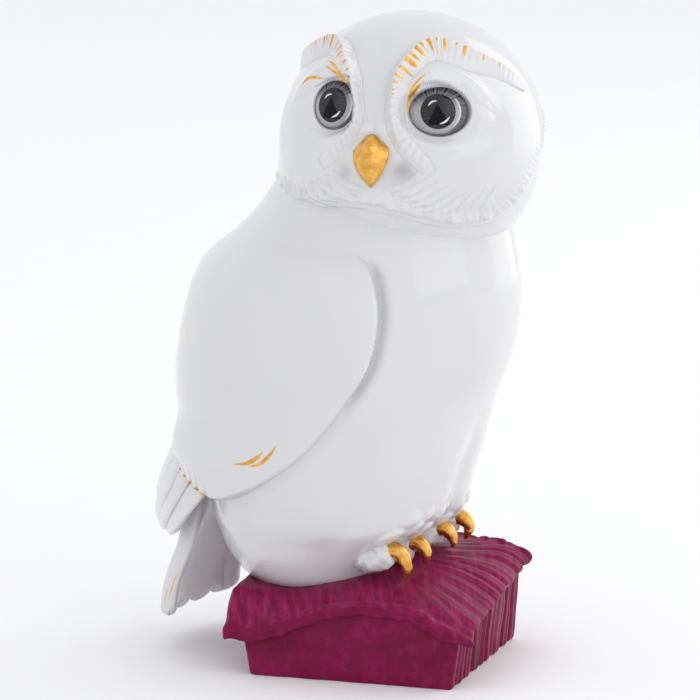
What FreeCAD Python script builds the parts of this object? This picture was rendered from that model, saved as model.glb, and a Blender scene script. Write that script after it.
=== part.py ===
"""Porcelain owl perched on a small roof-shaped plinth, as separate castings in millimetres.

Row frame: +Z up, origin at the centre of the plinth's underside. The plinth's ridge runs along X.
The owl faces -Y, turned a little towards -X, and looks over its right shoulder towards -X.
Castings are hollow, 3 to 4 mm thick, and meet face to face where the slip joins would be.
"""

import FreeCAD
import Part
import math
import os

from FreeCAD import Vector

os.makedirs("parts", exist_ok=True)

# ---- driving dimensions ----
WALL = 3.5  # thickness of a slip-cast wall
REACH = 100.0  # half the width of a slab that is used for cutting, wider than the whole figure
OVERCUT = 5.0  # cutting shapes run on this far past a face

PLINTH_LENGTH = 72.0  # along X, the ridge's direction
PLINTH_DEPTH = 67.0  # along Y
FLOOR_THICK = 3.0
VENT_RADIUS = 4.0  # air holes between the castings, all on the owl's own axis
ROOF_LENGTH = 76.0
RIDGE_Y = -5.0
RIDGE_RISE = 6.5  # the ridge climbs this much from the -X gable to the +X gable
FRONT_EAVE_RISE = 8.5  # and so do its two eaves
BACK_EAVE_RISE = 8.0
ROOF_CROWN = 2.5  # the roof is this much fuller between its gables
GABLE_DROOP = 11.0  # the roof droops over this length towards its low gable
FLUTE_PITCH = 7.2
FLUTE_DEPTH = 0.9
FLUTED_WALL = 5.0  # thickness of the plinth's walls, flutes included
HOLLOW_TOP = 35.0  # above the highest point of the plinth's hollow
# The walls' upright line: height, how far it stands out of the plinth's length and depth
WALL_FLARE = [(0.0, -0.6), (10.0, -0.4), (30.0, 0.8)]

OWL_AT = Vector(2.4, 8.5, 0.8)  # the owl's own origin in the plinth's frame
OWL_TURN = -7.0  # degrees about Z, from facing -Y towards -X

# Torso stations in the owl's frame: height, breast, back, half width
TORSO = [
    (20.0, -8.0, 28.0, 20.0),
    (26.0, -13.0, 36.0, 28.0),
    (33.0, -16.5, 42.0, 33.5),
    (40.0, -21.5, 45.0, 37.0),
    (45.0, -27.5, 47.0, 39.5),
    (51.0, -31.8, 48.5, 41.5),
    (60.0, -34.8, 50.5, 43.5),
    (72.0, -39.0, 55.5, 45.5),
    (86.0, -43.5, 57.5, 46.5),
    (100.0, -49.5, 56.2, 46.5),
    (112.0, -52.0, 52.7, 46.0),
    (122.0, -52.3, 48.0, 44.5),
    (131.0, -51.0, 41.2, 41.5),
    (138.0, -49.5, 34.0, 37.5),
    (146.0, -46.0, 23.5, 31.5),
]
NECK_TOP = 143.0
CAVITY_FLOOR = 40.0
NECK_INNER_RADIUS = 24.0
NECK_FORWARD = 14.0  # the neck opening's middle, in front of the owl's own axis
NECK_BOTTOM = 120.0  # the neck opening is straight from here up

HEAD_RADIUS = 42.0
HEAD_CENTRE = Vector(0.0, -18.2, 164.7)  # in the owl's frame
HEAD_YAW = -83.0  # degrees, added to OWL_TURN it looks exactly along -X
# Head stations: height above the head's centre, share of the head's radius
HEAD = [
    (-31.5, 0.68),
    (-28.0, 0.80),
    (-21.0, 0.905),
    (-13.0, 0.965),
    (-4.0, 1.00),
    (5.0, 0.985),
    (13.0, 0.95),
    (20.0, 0.88),
    (27.0, 0.77),
    (32.5, 0.64),
    (37.0, 0.48),
    (40.2, 0.30),
]

WING_THICK = 3.0
WING_GAP = 5.0  # half the groove between the two wings along the back
# Outline of a folded wing seen from the side: along Y, height
WING_OUTLINE = [
    (-21.5, 130.0),
    (-23.8, 118.0),
    (-23.5, 104.0),
    (-19.5, 92.0),
    (-11.5, 80.5),
    (0.0, 71.0),
    (14.0, 62.5),
    (28.0, 56.5),
    (42.0, 53.0),
    (54.0, 57.0),
    (61.0, 72.0),
    (61.0, 92.0),
    (54.0, 110.0),
    (40.0, 124.0),
    (20.0, 133.0),
    (-4.0, 136.5),
    (-16.0, 135.5),
]
# Flight feathers below the wing: height, distance out, distance back, half length, half thickness
FLIGHT = [
    (82.0, 23.0, 49.5, 13.0, 3.6),
    (70.0, 22.5, 53.0, 15.0, 4.6),
    (58.0, 22.0, 55.5, 14.5, 5.0),
    (48.0, 20.5, 57.5, 12.0, 4.6),
    (41.0, 19.0, 58.0, 9.0, 3.6),
    (37.5, 18.0, 57.8, 4.5, 2.0),
]
FLIGHT_SWEEP = 36.0  # degrees that each group turns round the body

# Tail stations: height, distance back, half width, half thickness
TAIL = [
    (52.0, 52.5, 14.5, 3.8),
    (43.5, 55.7, 17.6, 3.5),
    (34.5, 59.2, 20.2, 3.2),
    (25.5, 61.8, 22.4, 3.0),
    (16.5, 63.6, 23.6, 2.8),
    (7.5, 64.6, 23.0, 2.4),
]
TAIL_CURL = 7.0  # the fan's edges lie this much further forward than its middle
TAIL_EDGE_THIN = 0.2  # share of its thickness that the fan loses towards its edges
TAIL_SPANS = 3  # outline points from the tail's middle to its edge

# Toes: name, distance to the owl's left, talon base (Y, Z), talon tip (Y, Z)
TALONS = [
    ("right_outer", -21.5, (-19.1, 39.0), (-24.9, 30.2)),
    ("right_inner", -8.5, (-20.6, 39.4), (-25.7, 32.6)),
    ("left_inner", 6.5, (-23.2, 41.4), (-28.5, 35.2)),
    ("left_outer", 19.5, (-23.4, 42.4), (-27.8, 35.2)),
]
TALON_RADIUS = 2.3
TOE_SIZE = (5.6, 9.0, 5.2)
TOE_BACK = 6.0  # the toe's middle, behind its talon's base
TOE_DROP = 3.2  # and below it
HEEL_SIZE = (11.0, 8.0, 7.5)
HEEL_BACK = 11.0

# Beak sections: height over the head's centre, distance out from it, half width and half depth
BEAK = [
    (4.2, 38.5, 5.8, 4.35),
    (1.8, 42.4, 5.8, 4.9),
    (-1.8, 45.4, 4.9, 4.35),
    (-5.4, 46.6, 2.8, 2.9),
    (-8.4, 45.8, 0.8, 1.0),
]
BEAK_POINTS = 12  # outline points of each section
BEAK_TILT = math.radians(53.0)  # the sections lean back from the level by this much
BEAK_ASIDE = -0.4  # the beak's own middle, along the face
EYE_ACROSS = 19.0  # along the face from its midline
EYE_UP = 16.0
EYE_RADIUS = 13.0
EYE_DEPTH = 28.5  # the eye's own centre, from the head's centre
EYE_FLAT = 8.5  # from the eye's own centre to its flat back
SOCKET_RADIUS = 9.8
BROW_THICK = 2.0
BROW_MIDDLE = (20.0, 30.0)  # the brow is cut square to the head here
# Outline of the raised brow over one eye, along and up the face from its centre
BROW = [
    (3.6, 10.0),
    (3.4, 16.0),
    (5.0, 26.0),
    (8.4, 34.5),
    (13.5, 41.5),
    (20.0, 42.0),
    (30.0, 38.5),
    (40.0, 36.5),
    (48.0, 35.5),
    (42.0, 31.5),
    (32.0, 33.0),
    (22.0, 33.0),
    (14.5, 29.5),
    (10.2, 22.5),
    (8.0, 13.0),
]


# ---- helpers ----
def closed_spline(points):
    """A closed smooth wire through points."""
    curve = Part.BSplineCurve()
    curve.interpolate(Points=points, PeriodicFlag=True)
    return Part.Wire([curve.toShape()])


def loft(wires):
    """A closed solid through wires, with flat ends."""
    return Part.makeLoft(wires, True, False)


def oval(centre, half_x, half_y, count=16):
    """A level oval wire."""
    turns = [2 * math.pi * i / count for i in range(count)]
    return closed_spline([
        Vector(centre.x + half_x * math.cos(t), centre.y + half_y * math.sin(t), centre.z)
        for t in turns
    ])


def circle_across(point, direction, radius):
    """A circular wire round point, square to direction."""
    return Part.Wire([Part.Edge(Part.Circle(point, direction, radius))])


def tube(points, radii):
    """A solid of round section whose radius changes along points."""
    wires = []
    for i, point in enumerate(points):
        before = points[max(i - 1, 0)]
        after = points[min(i + 1, len(points) - 1)]
        wires.append(circle_across(point, after - before, radii[i]))
    return loft(wires)


def ellipsoid(centre, size):
    """An ellipsoid of half sizes size."""
    matrix = FreeCAD.Matrix()
    matrix.scale(size[0], size[1], size[2])
    ball = Part.makeSphere(1.0).transformGeometry(matrix)
    ball.translate(centre)
    return ball


def largest(shape):
    """The biggest solid of shape."""
    return max(shape.Solids, key=lambda s: s.Volume)


def level_slab(low, thick):
    """A level slab for cutting, wider than the figure."""
    return Part.makeBox(2 * REACH, 2 * REACH, thick, Vector(-REACH, -REACH, low))


def place_owl(shape):
    """Moves a shape from the owl's frame to the plinth's."""
    placed = shape.copy()
    placed.rotate(Vector(0, 0, 0), Vector(0, 0, 1), OWL_TURN)
    placed.translate(OWL_AT)
    return placed


def mirror_owl(shape):
    """The owl's other side."""
    return shape.mirror(Vector(0, 0, 0), Vector(1, 0, 0))


def head_point(along, up, radius):
    """A point over the face, in the owl's frame. along and up are distances on the head's surface."""
    angle = math.hypot(along, up) / HEAD_RADIUS
    turn = math.atan2(up, along)
    across = radius * math.sin(angle) * math.cos(turn)
    forward = radius * math.cos(angle)
    height = radius * math.sin(angle) * math.sin(turn)
    yaw = math.radians(HEAD_YAW)
    face = Vector(math.sin(yaw), -math.cos(yaw), 0)
    side = Vector(math.cos(yaw), math.sin(yaw), 0)
    return HEAD_CENTRE + face * forward + side * across + Vector(0, 0, height)


# ---- plinth ----
def roof_profile(x, inset):
    """Closed profile of the roof slab at x, as points along Y and Z. inset draws the lips in at the gables."""
    share = (x + ROOF_LENGTH / 2) / ROOF_LENGTH
    crown = ROOF_CROWN * (1 - (2 * share - 1) ** 4)
    rise = RIDGE_RISE * share
    back_lift = BACK_EAVE_RISE * (1 - (1 - share) ** 2)
    front_lift = FRONT_EAVE_RISE * share
    droop = max(0.0, 1 - share * ROOF_LENGTH / GABLE_DROOP) ** 2
    top = [
        (-34.0, 21.3 + front_lift + crown * 0.3 - droop * 4.6),
        (-20.0, 25.7 + rise + crown * 0.8 - droop * 2.0),
        (RIDGE_Y, 26.5 + rise + crown - droop * 2.4),
        (9.0, 25.2 + rise + crown - droop * 3.8),
        (23.0, 23.2 + rise * 0.9 + crown * 0.9 - droop * 7.7),
        (34.0, 25.0 + back_lift * 0.3 + crown * 0.3 - droop * 12.2),
        (40.0 - inset, 25.2 + back_lift * 0.3 + crown * 0.3 - droop * 12.8),
    ]
    under = [
        (38.6 - inset, 11.6 + back_lift * 0.4 - droop * 1.2),
        (31.0, 11.4 + back_lift * 0.4 - droop * 1.6),
        (20.0, 16.3 + back_lift * 0.3 - droop * 3.6),
        (7.0, 21.0 + rise * 0.3 - droop * 2.0),
        (RIDGE_Y, 22.3 + rise * 0.4 - droop * 1.6),
        (-18.0, 20.8 + rise * 0.4 - droop * 1.0),
        (-31.5, 17.3 + front_lift * 0.5 - droop * 2.4),
    ]
    back_lip = (41.5 - inset, 17.5 + back_lift * 0.4 - droop * 6.3)
    front_lip = (-39.6 + 2.0 * share + inset, 18.4 + front_lift - droop * 3.7)
    return [*top, back_lip, *under, front_lip]


def roof_solid():
    """The thick roof with rounded lips, lofted from gable to gable."""
    half = ROOF_LENGTH / 2
    stations = [-half, -half + 2.0, -half + 5.5, -half + 11.0, -15.0, 6.0, half - 9.0, half - 2.0, half]
    insets = [1.6, 0.4, 0.0, 0.0, 0.0, 0.0, 0.0, 0.4, 1.6]
    wires = [
        closed_spline([Vector(x, y, z) for y, z in roof_profile(x, inset)])
        for x, inset in zip(stations, insets)
    ]
    return loft(wires)


def fluted_outline(height, grow):
    """Plan outline of the plinth at a height: plain gable sides, fluted front and back sides."""
    half_x, half_y = PLINTH_LENGTH / 2 + grow, PLINTH_DEPTH / 2 + grow
    flutes = int(round(PLINTH_LENGTH / FLUTE_PITCH))
    steps = flutes * 2
    corners = []
    for side in (-1, 1):
        row = []
        for i in range(1, steps):
            x = -half_x + 2 * half_x * i / steps
            wave = FLUTE_DEPTH * (1 if i % 2 else -1)
            row.append(Vector(x, side * (half_y + wave), height))
        corners.append(row)
    front, back = corners
    first = [Vector(-half_x, -half_y, height), *front, Vector(half_x, -half_y, height)]
    last = [Vector(half_x, half_y, height), *reversed(back), Vector(-half_x, half_y, height)]
    edges = []
    for row in (first, last):
        curve = Part.BSplineCurve()
        curve.interpolate(Points=row)
        edges.append(curve.toShape())
    edges.insert(1, Part.LineSegment(first[-1], last[0]).toShape())
    edges.append(Part.LineSegment(last[-1], first[0]).toShape())
    return Part.Wire(edges)


def plinth_parts():
    """Walls, floor and roof of the plinth."""
    roof = roof_solid()
    outer = loft([fluted_outline(height, grow) for height, grow in WALL_FLARE])
    half_x = PLINTH_LENGTH / 2 - FLUTED_WALL
    half_y = PLINTH_DEPTH / 2 - FLUTED_WALL
    corner = Vector(-half_x, -half_y, -OVERCUT)
    inner = Part.makeBox(2 * half_x, 2 * half_y, HOLLOW_TOP + OVERCUT, corner)
    column = outer.cut(roof)
    lower = min(column.Solids, key=lambda s: s.BoundBox.ZMin)
    walls = largest(lower.cut(inner))
    floor = inner.common(level_slab(0.0, FLOOR_THICK))
    vent = Part.makeCylinder(VENT_RADIUS, REACH, Vector(OWL_AT.x, OWL_AT.y, -OVERCUT))
    return walls, floor.cut(vent), roof, roof.cut(vent)


# ---- owl ----
def torso_loft(grow):
    """The torso's outer form, larger or smaller by grow."""
    wires = []
    for height, front, back, half_width in TORSO:
        centre = Vector(0, (front + back) / 2, height)
        wires.append(oval(centre, half_width + grow, (back - front) / 2 + grow))
    return loft(wires)


def head_form(grow):
    """The head's rounded outer form, larger or smaller by grow, turned about its vertical axis."""
    fit = 1 + grow / HEAD_RADIUS
    rim = [Vector(HEAD_RADIUS * share + grow, 0, height * fit) for height, share in HEAD]
    top = Vector(0, 0, HEAD_RADIUS * fit)
    curve = Part.BSplineCurve()
    curve.interpolate(Points=[*rim, top])
    low = Vector(0, 0, rim[0].z)
    outline = Part.Wire([
        Part.LineSegment(low, rim[0]).toShape(),
        curve.toShape(),
        Part.LineSegment(top, low).toShape(),
    ])
    solid = Part.Face(outline).revolve(Vector(0, 0, 0), Vector(0, 0, 1), 360)
    solid.translate(HEAD_CENTRE)
    return solid


def wing(torso, blanket):
    """The right wing: a patch of the torso's skin, WING_THICK proud of it."""
    outline = closed_spline([Vector(-WING_GAP, y, z) for y, z in WING_OUTLINE])
    prism = Part.Face(outline).extrude(Vector(-60, 0, 0))
    return largest(blanket.common(prism).cut(torso))


def flight_feathers():
    """The right wing's long feathers, below its coverts."""
    wires = []
    for height, out, back, half_length, half_thick in FLIGHT:
        wire = oval(Vector(0, 0, height), half_length, half_thick)
        wire.rotate(Vector(0, 0, 0), Vector(0, 0, 1), FLIGHT_SWEEP)
        wire.translate(Vector(-out, back, 0))
        wires.append(wire)
    return loft(wires)


def tail_fan():
    """The hanging tail, curled forward at its edges."""
    wires = []
    for height, back, half_width, half_thick in TAIL:
        points = []
        for side in (1, -1):
            for i in range(-TAIL_SPANS, TAIL_SPANS + 1):
                share = i * side / TAIL_SPANS
                bend = -TAIL_CURL * share * share
                thick = side * half_thick * (1 - TAIL_EDGE_THIN * share * share)
                points.append(Vector(half_width * share, back + bend + thick, height))
        wires.append(closed_spline(points))
    return loft(wires)


def talon(across, base, tip):
    """A claw that curves forward and down from its toe to its tip."""
    start = Vector(across, base[0] + 1.5, base[1] - 1.0)
    knee = Vector(across, base[0] - 3.6, base[1] - 0.6)
    bend = Vector(across, tip[0] - 0.9, (base[1] + tip[1]) / 2 - 0.2)
    end = Vector(across, tip[0] + 0.6, tip[1])
    points = [start, knee, bend, end]
    radii = [TALON_RADIUS, TALON_RADIUS * 0.95, TALON_RADIUS * 0.68, TALON_RADIUS * 0.3]
    return tube(points, radii)


def foot(claws):
    """One feathered foot: a toe behind each claw, joined at the heel."""
    shape = None
    for _, across, base, _ in claws:
        toe = ellipsoid(Vector(across, base[0] + TOE_BACK, base[1] - TOE_DROP), TOE_SIZE)
        shape = toe if shape is None else shape.fuse(toe)
    middle = sum(c[1] for c in claws) / len(claws)
    level = sum(c[2][1] for c in claws) / len(claws)
    heel = ellipsoid(Vector(middle, claws[0][2][0] + HEEL_BACK, level), HEEL_SIZE)
    return shape.fuse(heel)


def beak():
    """A short hooked beak, from its broad base to its point."""
    yaw = math.radians(HEAD_YAW)
    face = Vector(math.sin(yaw), -math.cos(yaw), 0)
    side = Vector(math.cos(yaw), math.sin(yaw), 0)
    slope = Vector(0, 0, 1) * math.sin(BEAK_TILT) + face * math.cos(BEAK_TILT)
    wires = []
    for up, out, half_width, half_depth in BEAK:
        centre = HEAD_CENTRE + face * out + side * BEAK_ASIDE + Vector(0, 0, up)
        points = []
        for i in range(BEAK_POINTS):
            t = 2 * math.pi * i / BEAK_POINTS
            across = side * (half_width * math.cos(t))
            points.append(centre + across + slope * (half_depth * math.sin(t)))
        wires.append(closed_spline(points))
    return loft(wires)


def brow(side, head_outer):
    """A raised crest over one eye: a patch of the head's skin, BROW_THICK proud of it."""
    along, up = BROW_MIDDLE
    out = (head_point(side * along, up, 1.0) - HEAD_CENTRE).normalize()
    points = []
    for a, u in BROW:
        arm = head_point(side * a, u, HEAD_RADIUS) - HEAD_CENTRE
        points.append(HEAD_CENTRE + arm - out * arm.dot(out))
    prism = Part.Face(closed_spline(points)).extrude(out * HEAD_RADIUS * 1.5)
    return largest(head_form(BROW_THICK).common(prism).cut(head_outer))


def eye(side):
    """The domed eye, flat behind."""
    centre = head_point(side * EYE_ACROSS, EYE_UP, EYE_DEPTH)
    out = (centre - HEAD_CENTRE).normalize()
    ball = Part.makeSphere(EYE_RADIUS, centre)
    plug = Part.makeCylinder(EYE_RADIUS, EYE_RADIUS, centre + out * EYE_FLAT, out)
    return ball.common(plug)


def socket(side):
    """The round recess that an eye lies in, open to the front."""
    bottom = head_point(side * EYE_ACROSS, EYE_UP, EYE_DEPTH + EYE_FLAT)
    out = (bottom - HEAD_CENTRE).normalize()
    return Part.makeCylinder(SOCKET_RADIUS, HEAD_RADIUS, bottom, out)


def save(shape, name):
    """Writes one node, and prints its size so that the build can be read."""
    solids = shape.Solids
    assert solids and all(s.isValid() and s.Volume > 1.0 for s in solids), name
    whole = solids[0] if len(solids) == 1 else Part.makeCompound(solids)
    whole.exportStep("parts/" + name + ".step")
    box = whole.BoundBox
    sizes = "%.1f x %.1f x %.1f" % (box.XLength, box.YLength, box.ZLength)
    print("%-24s %d solid(s) %8.0f mm3  %s" % (name, len(solids), whole.Volume, sizes))


def main():
    """Builds every piece, cuts each clear of its neighbours, and saves it."""
    walls, floor, roof_full, roof = plinth_parts()
    save(walls, "plinth_walls")
    save(floor, "plinth_floor")
    save(roof, "plinth_roof")

    torso_outer = torso_loft(0.0)
    torso_inner = torso_loft(-WALL)
    head_outer = head_form(0.0)
    head_inner = head_form(-WALL)
    neck = Part.makeCylinder(NECK_INNER_RADIUS, REACH, Vector(0, -NECK_FORWARD, NECK_BOTTOM))
    above_neck = level_slab(NECK_TOP, REACH)
    drain = Part.makeCylinder(VENT_RADIUS, CAVITY_FLOOR + OVERCUT)
    below_cavity = level_slab(0.0, CAVITY_FLOOR)
    cavity = torso_inner.cut(below_cavity).cut(above_neck)

    roof_in_owl = roof_full.copy()
    roof_in_owl.translate(OWL_AT * -1)
    roof_in_owl.rotate(Vector(0, 0, 0), Vector(0, 0, 1), -OWL_TURN)

    eyes = {"right": eye(-1), "left": eye(1)}
    brows = {"right": brow(-1, head_outer), "left": brow(1, head_outer)}
    beak_solid = beak()

    torso = torso_outer.cut(above_neck).cut(cavity).cut(neck).cut(drain).cut(roof_in_owl)
    torso = max(torso.Solids, key=lambda s: s.BoundBox.ZMax)

    head = head_outer.cut(torso_outer.cut(above_neck)).cut(head_inner)
    sockets = {"right": socket(-1), "left": socket(1)}
    for recess in sockets.values():
        head = head.cut(recess)
    head = largest(head)

    blanket = torso_loft(WING_THICK)
    right_wing = wing(torso_outer, blanket).cut(head_outer)
    right_flight = flight_feathers().cut(torso_outer).cut(right_wing)
    right_flight = largest(right_flight)
    tail = tail_fan().cut(torso_outer).cut(right_flight).cut(mirror_owl(right_flight))

    claws = [talon(across, base, tip) for _, across, base, tip in TALONS]
    feet = {"right": foot(TALONS[:2]), "left": foot(TALONS[2:])}
    for side in feet:
        feet[side] = feet[side].cut(torso_outer).cut(roof_in_owl)

    save(place_owl(torso), "torso")
    save(place_owl(head), "head")
    save(place_owl(largest(right_wing)), "right_wing")
    save(place_owl(largest(mirror_owl(right_wing))), "left_wing")
    save(place_owl(right_flight), "right_flight_feathers")
    save(place_owl(mirror_owl(right_flight)), "left_flight_feathers")
    save(place_owl(largest(tail)), "tail")
    for side, shape in feet.items():
        save(place_owl(largest(shape)), side + "_foot")
    for (name, _, _, _), claw in zip(TALONS, claws):
        side = feet["right" if name.startswith("right") else "left"]
        clear = claw.cut(side).cut(roof_in_owl).cut(torso_outer)
        save(place_owl(largest(clear)), name + "_talon")
    save(place_owl(largest(beak_solid.cut(head_outer))), "beak")
    for side in ("right", "left"):
        save(place_owl(eyes[side]), side + "_eye")
        crest = brows[side].cut(sockets[side]).cut(beak_solid)
        save(place_owl(largest(crest)), side + "_brow")


main()
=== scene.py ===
"""The looks of a porcelain owl on a roof-shaped plinth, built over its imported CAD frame.

Lengths are in millimetres until make_piece() turns them into metres. In the owl's own frame the
breast looks towards -Y; owl_to_row() turns it into the row frame. On the head, along and up are
distances over a ball of HEAD_RADIUS from the point that the face looks out of, towards -X.
"""

import math

import bpy
import numpy as np
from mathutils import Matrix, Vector


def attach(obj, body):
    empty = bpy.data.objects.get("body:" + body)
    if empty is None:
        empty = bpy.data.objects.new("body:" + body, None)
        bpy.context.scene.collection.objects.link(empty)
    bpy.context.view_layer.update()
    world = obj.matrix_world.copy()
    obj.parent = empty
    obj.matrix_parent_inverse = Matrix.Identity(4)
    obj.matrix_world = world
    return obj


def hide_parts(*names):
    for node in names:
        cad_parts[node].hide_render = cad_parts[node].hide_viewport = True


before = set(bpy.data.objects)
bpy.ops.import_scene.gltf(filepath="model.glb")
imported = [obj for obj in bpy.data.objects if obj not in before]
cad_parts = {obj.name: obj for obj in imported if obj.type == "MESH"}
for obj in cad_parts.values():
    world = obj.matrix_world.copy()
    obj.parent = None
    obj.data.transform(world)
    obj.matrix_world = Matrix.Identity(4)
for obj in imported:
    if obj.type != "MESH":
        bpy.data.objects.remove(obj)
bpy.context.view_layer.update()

MM = 0.001

# ---- driving dimensions, in millimetres ----
OWL_AT = np.array([2.4, 8.5, 0.8])
OWL_TURN = math.radians(-7.0)

HEAD_RADIUS = 42.0
HEAD_CENTRE = np.array([0.2, -9.56, 165.5])
FACE_EDGE = 62.0  # the finely meshed part of the head, out from the middle of the face

# Torso: height, breast, back, half width
TORSO = [
    (16.0, -2.0, 22.0, 14.0), (20.0, -8.0, 28.0, 20.0), (26.0, -13.0, 36.0, 28.0),
    (33.0, -16.5, 42.0, 33.5), (40.0, -21.5, 45.0, 37.0), (45.0, -27.5, 47.0, 39.5),
    (51.0, -31.8, 48.5, 41.5), (60.0, -34.8, 50.5, 43.5), (72.0, -39.0, 55.5, 45.5),
    (86.0, -43.5, 57.5, 46.5), (100.0, -49.5, 56.4, 46.5), (112.0, -52.0, 54.0, 46.0),
    (122.0, -52.3, 50.5, 44.5), (131.0, -51.0, 45.0, 41.8), (138.0, -49.5, 38.0, 39.0),
    (144.0, -46.5, 32.0, 37.0), (152.0, -42.0, 26.0, 35.0),
]
GIRTH = 48.0  # turns round the torso are measured as lengths at this radius

# Edge of the folded wing: degrees round from the breast, height
WING_EDGE = [
    (82.0, 139.0), (73.0, 134.0), (67.5, 129.5), (64.0, 123.0), (62.0, 116.0), (61.5, 108.0),
    (62.0, 100.0), (64.5, 91.5), (69.5, 81.5), (79.5, 70.8), (93.0, 63.0), (107.0, 57.2),
    (118.0, 54.2), (127.0, 55.0), (134.0, 57.0), (140.0, 58.4), (144.5, 60.6), (146.0, 64.0),
    (145.5, 67.5), (147.0, 71.0), (152.0, 75.0), (159.0, 79.0), (168.0, 84.5), (173.0, 86.0),
    (174.0, 104.0), (174.0, 120.0), (174.0, 140.0),
]
COVERTS = (119.0, 147.0)  # stretch of that edge, along it, that ends in scallops
SCALLOP = 4.2
SCALLOP_DEPTH = 2.6
WING_PROUD = 3.0
WING_FLAP = 6.2  # how much further the coverts stand off the torso, over the flight feathers
WING_LIP = 1.3
WING_SUNK = 4.0  # how deep the rim's skin reaches into the torso

# Brow crest, from beside the beak over the eye to the side of the head: out from the middle of the
# face, up, width of the combed band towards the eye, width of the flank towards the forehead
BROW = [
    (18.5, -4.6, 1.6, 1.2), (15.5, -1.8, 2.8, 2.0), (11.8, 1.6, 3.4, 2.4),
    (8.4, 5.4, 3.6, 2.4), (6.3, 10.2, 3.8, 2.3), (5.9, 15.5, 4.1, 2.5),
    (6.7, 20.3, 4.0, 2.7), (7.3, 24.2, 3.8, 2.9), (8.7, 27.5, 3.9, 3.0),
    (10.4, 30.3, 4.6, 3.1), (12.4, 33.4, 5.2, 3.1), (14.4, 36.4, 6.0, 3.0),
    (17.0, 38.8, 6.5, 2.7), (20.3, 39.9, 6.9, 2.2), (24.2, 39.8, 7.0, 1.7),
    (28.8, 38.8, 6.8, 1.5), (33.5, 37.5, 6.8, 1.4), (38.5, 36.4, 6.0, 1.3),
    (43.5, 35.4, 5.4, 1.2), (49.0, 34.2, 4.8, 1.2), (54.5, 32.4, 4.0, 1.0),
    (59.5, 29.8, 2.6, 0.8),
]
# How proud the brow's crest stands: share of its length, height
BROW_RISE = [
    (0.0, 0.2), (0.1, 0.7), (0.2, 1.9), (0.3, 3.7), (0.45, 3.4), (0.6, 3.1), (0.8, 2.6),
    (0.88, 1.5), (0.94, 0.6), (1.0, 0.1),
]
BROW_OVER = 1.12  # a brow's skin goes on past its edges by this factor, into the head
BROW_BED = 0.6  # how far under a brow's skin the head's own skin lies
RIB_PITCH = 2.6
RIB_PITCH_RUFF = 2.7
# The brows lean to the owl's right above BROW_LEAN_FROM, and the face dips to its left
BROW_LEAN = -0.13
BROW_LEAN_FROM = 11.0
FACE_DIP = 0.035

# Eyes by side of the head (1 is the owl's left): along, up, half width, half height
EYES = {1: (20.6, 15.8, 9.0, 7.1), -1: (-17.2, 16.8, 7.5, 7.2)}
EYE_DEEP = 38.4  # from the head's centre to the middle of the eye's rim
EYE_LOOK = (19.0, 12.0)  # degrees that an eye looks outwards and upwards
EYE_BALL = 16.0
EYE_DOME = 2.3
EYE_GIRTH = 8.0  # an eye's mean radius, which turns its oval into a distance from its rim
SOCKET_DEPTH = 2.2
FAR_FROM_EYE = 99.0

# Lid fold and lid edge, out and up from the middle of the eye
LID = [(-7.5, 8.5), (-4.5, 11.8), (0.0, 12.9), (5.0, 12.0), (10.0, 9.5), (15.0, 6.0), (21.0, 2.5)]
LID_EDGE = [
    (-8.5, 4.5), (-7.0, 6.5), (-4.4, 7.9), (-1.5, 8.4), (2.9, 7.6), (8.35, 5.0),
    (10.8, 3.5), (14.9, 1.5), (19.0, 0.5),
]
RUFF_EDGE = [
    (-66.0, -2.0), (-58.0, -12.0), (-47.0, -17.5), (-37.0, -17.5), (-24.0, -15.6), (-12.0, -13.8),
    (-2.0, -14.2), (5.0, -15.8), (12.5, -18.2), (20.0, -21.0), (28.0, -23.2), (36.0, -23.6),
    (44.0, -21.6), (52.0, -16.4), (60.0, -9.0), (68.0, 1.0), (76.0, 14.0),
]

ROOF_LENGTH = 76.0
RIDGE_Y = -5.0
RIDGE_RISE = 6.5
FRONT_EAVE_RISE = 8.5
BACK_EAVE_RISE = 8.0
ROOF_CROWN = 2.5
GABLE_DROOP = 11.0
LIP_ROUND = 1.2
PLEAT_PITCH = 9.2
PLEAT_MEAN = 0.62  # mean height of the folds, as a share of their full height
FAN_X = 6.0  # the folds fan out from a line this far in front of the plinth's middle
PLINTH_LENGTH = 72.0
PLINTH_DEPTH = 67.0
WALL_CORNER = 1.8
WALL_FLARE = 0.07  # share by which the walls are deeper under the eaves than at their foot

# Talons in the owl's frame: name, across, base (Y, Z), tip (Y, Z)
TALONS = [
    ("right_outer", -21.5, (-19.1, 39.0), (-24.9, 30.2)),
    ("right_inner", -8.5, (-20.6, 39.4), (-25.7, 32.6)),
    ("left_inner", 6.5, (-23.2, 41.4), (-28.5, 35.2)),
    ("left_outer", 19.5, (-23.4, 42.4), (-27.8, 35.2)),
]


# ---- numbers ----
CHUNK = 20000  # points that are measured against a path at a time, to save memory
ALMOST_SHUT = 0.02  # what is left of a rounded end's size where it closes


def ramp(low, high, x):
    """0 below low, 1 above high, smooth between them. low may be above high."""
    x = np.clip((x - low) / (high - low), 0, 1)
    return x * x * (3 - 2 * x)


def hill(x, width):
    """1 at x = 0, falling away smoothly on both sides."""
    return np.exp(-((x / width) ** 2))


def dome(x):
    """The height of a half circle of radius 1 at x."""
    return np.sqrt(np.clip(1 - x ** 2, 0, 1))


def table(rows, column=1):
    """A smooth function through one column of rows, of their first column."""
    xs = np.array([r[0] for r in rows], float)
    ys = np.array([r[column] for r in rows], float)
    slopes = np.gradient(ys, xs)

    def value(x):
        x = np.clip(x, xs[0], xs[-1])
        i = np.clip(np.searchsorted(xs, x, side="right") - 1, 0, len(xs) - 2)
        step = xs[i + 1] - xs[i]
        f = (x - xs[i]) / step
        start = ys[i] * (1 + 2 * f) * (1 - f) ** 2 + slopes[i] * step * f * (1 - f) ** 2
        end = ys[i + 1] * f * f * (3 - 2 * f) + slopes[i + 1] * step * f * f * (f - 1)
        return start + end

    return value


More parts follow.
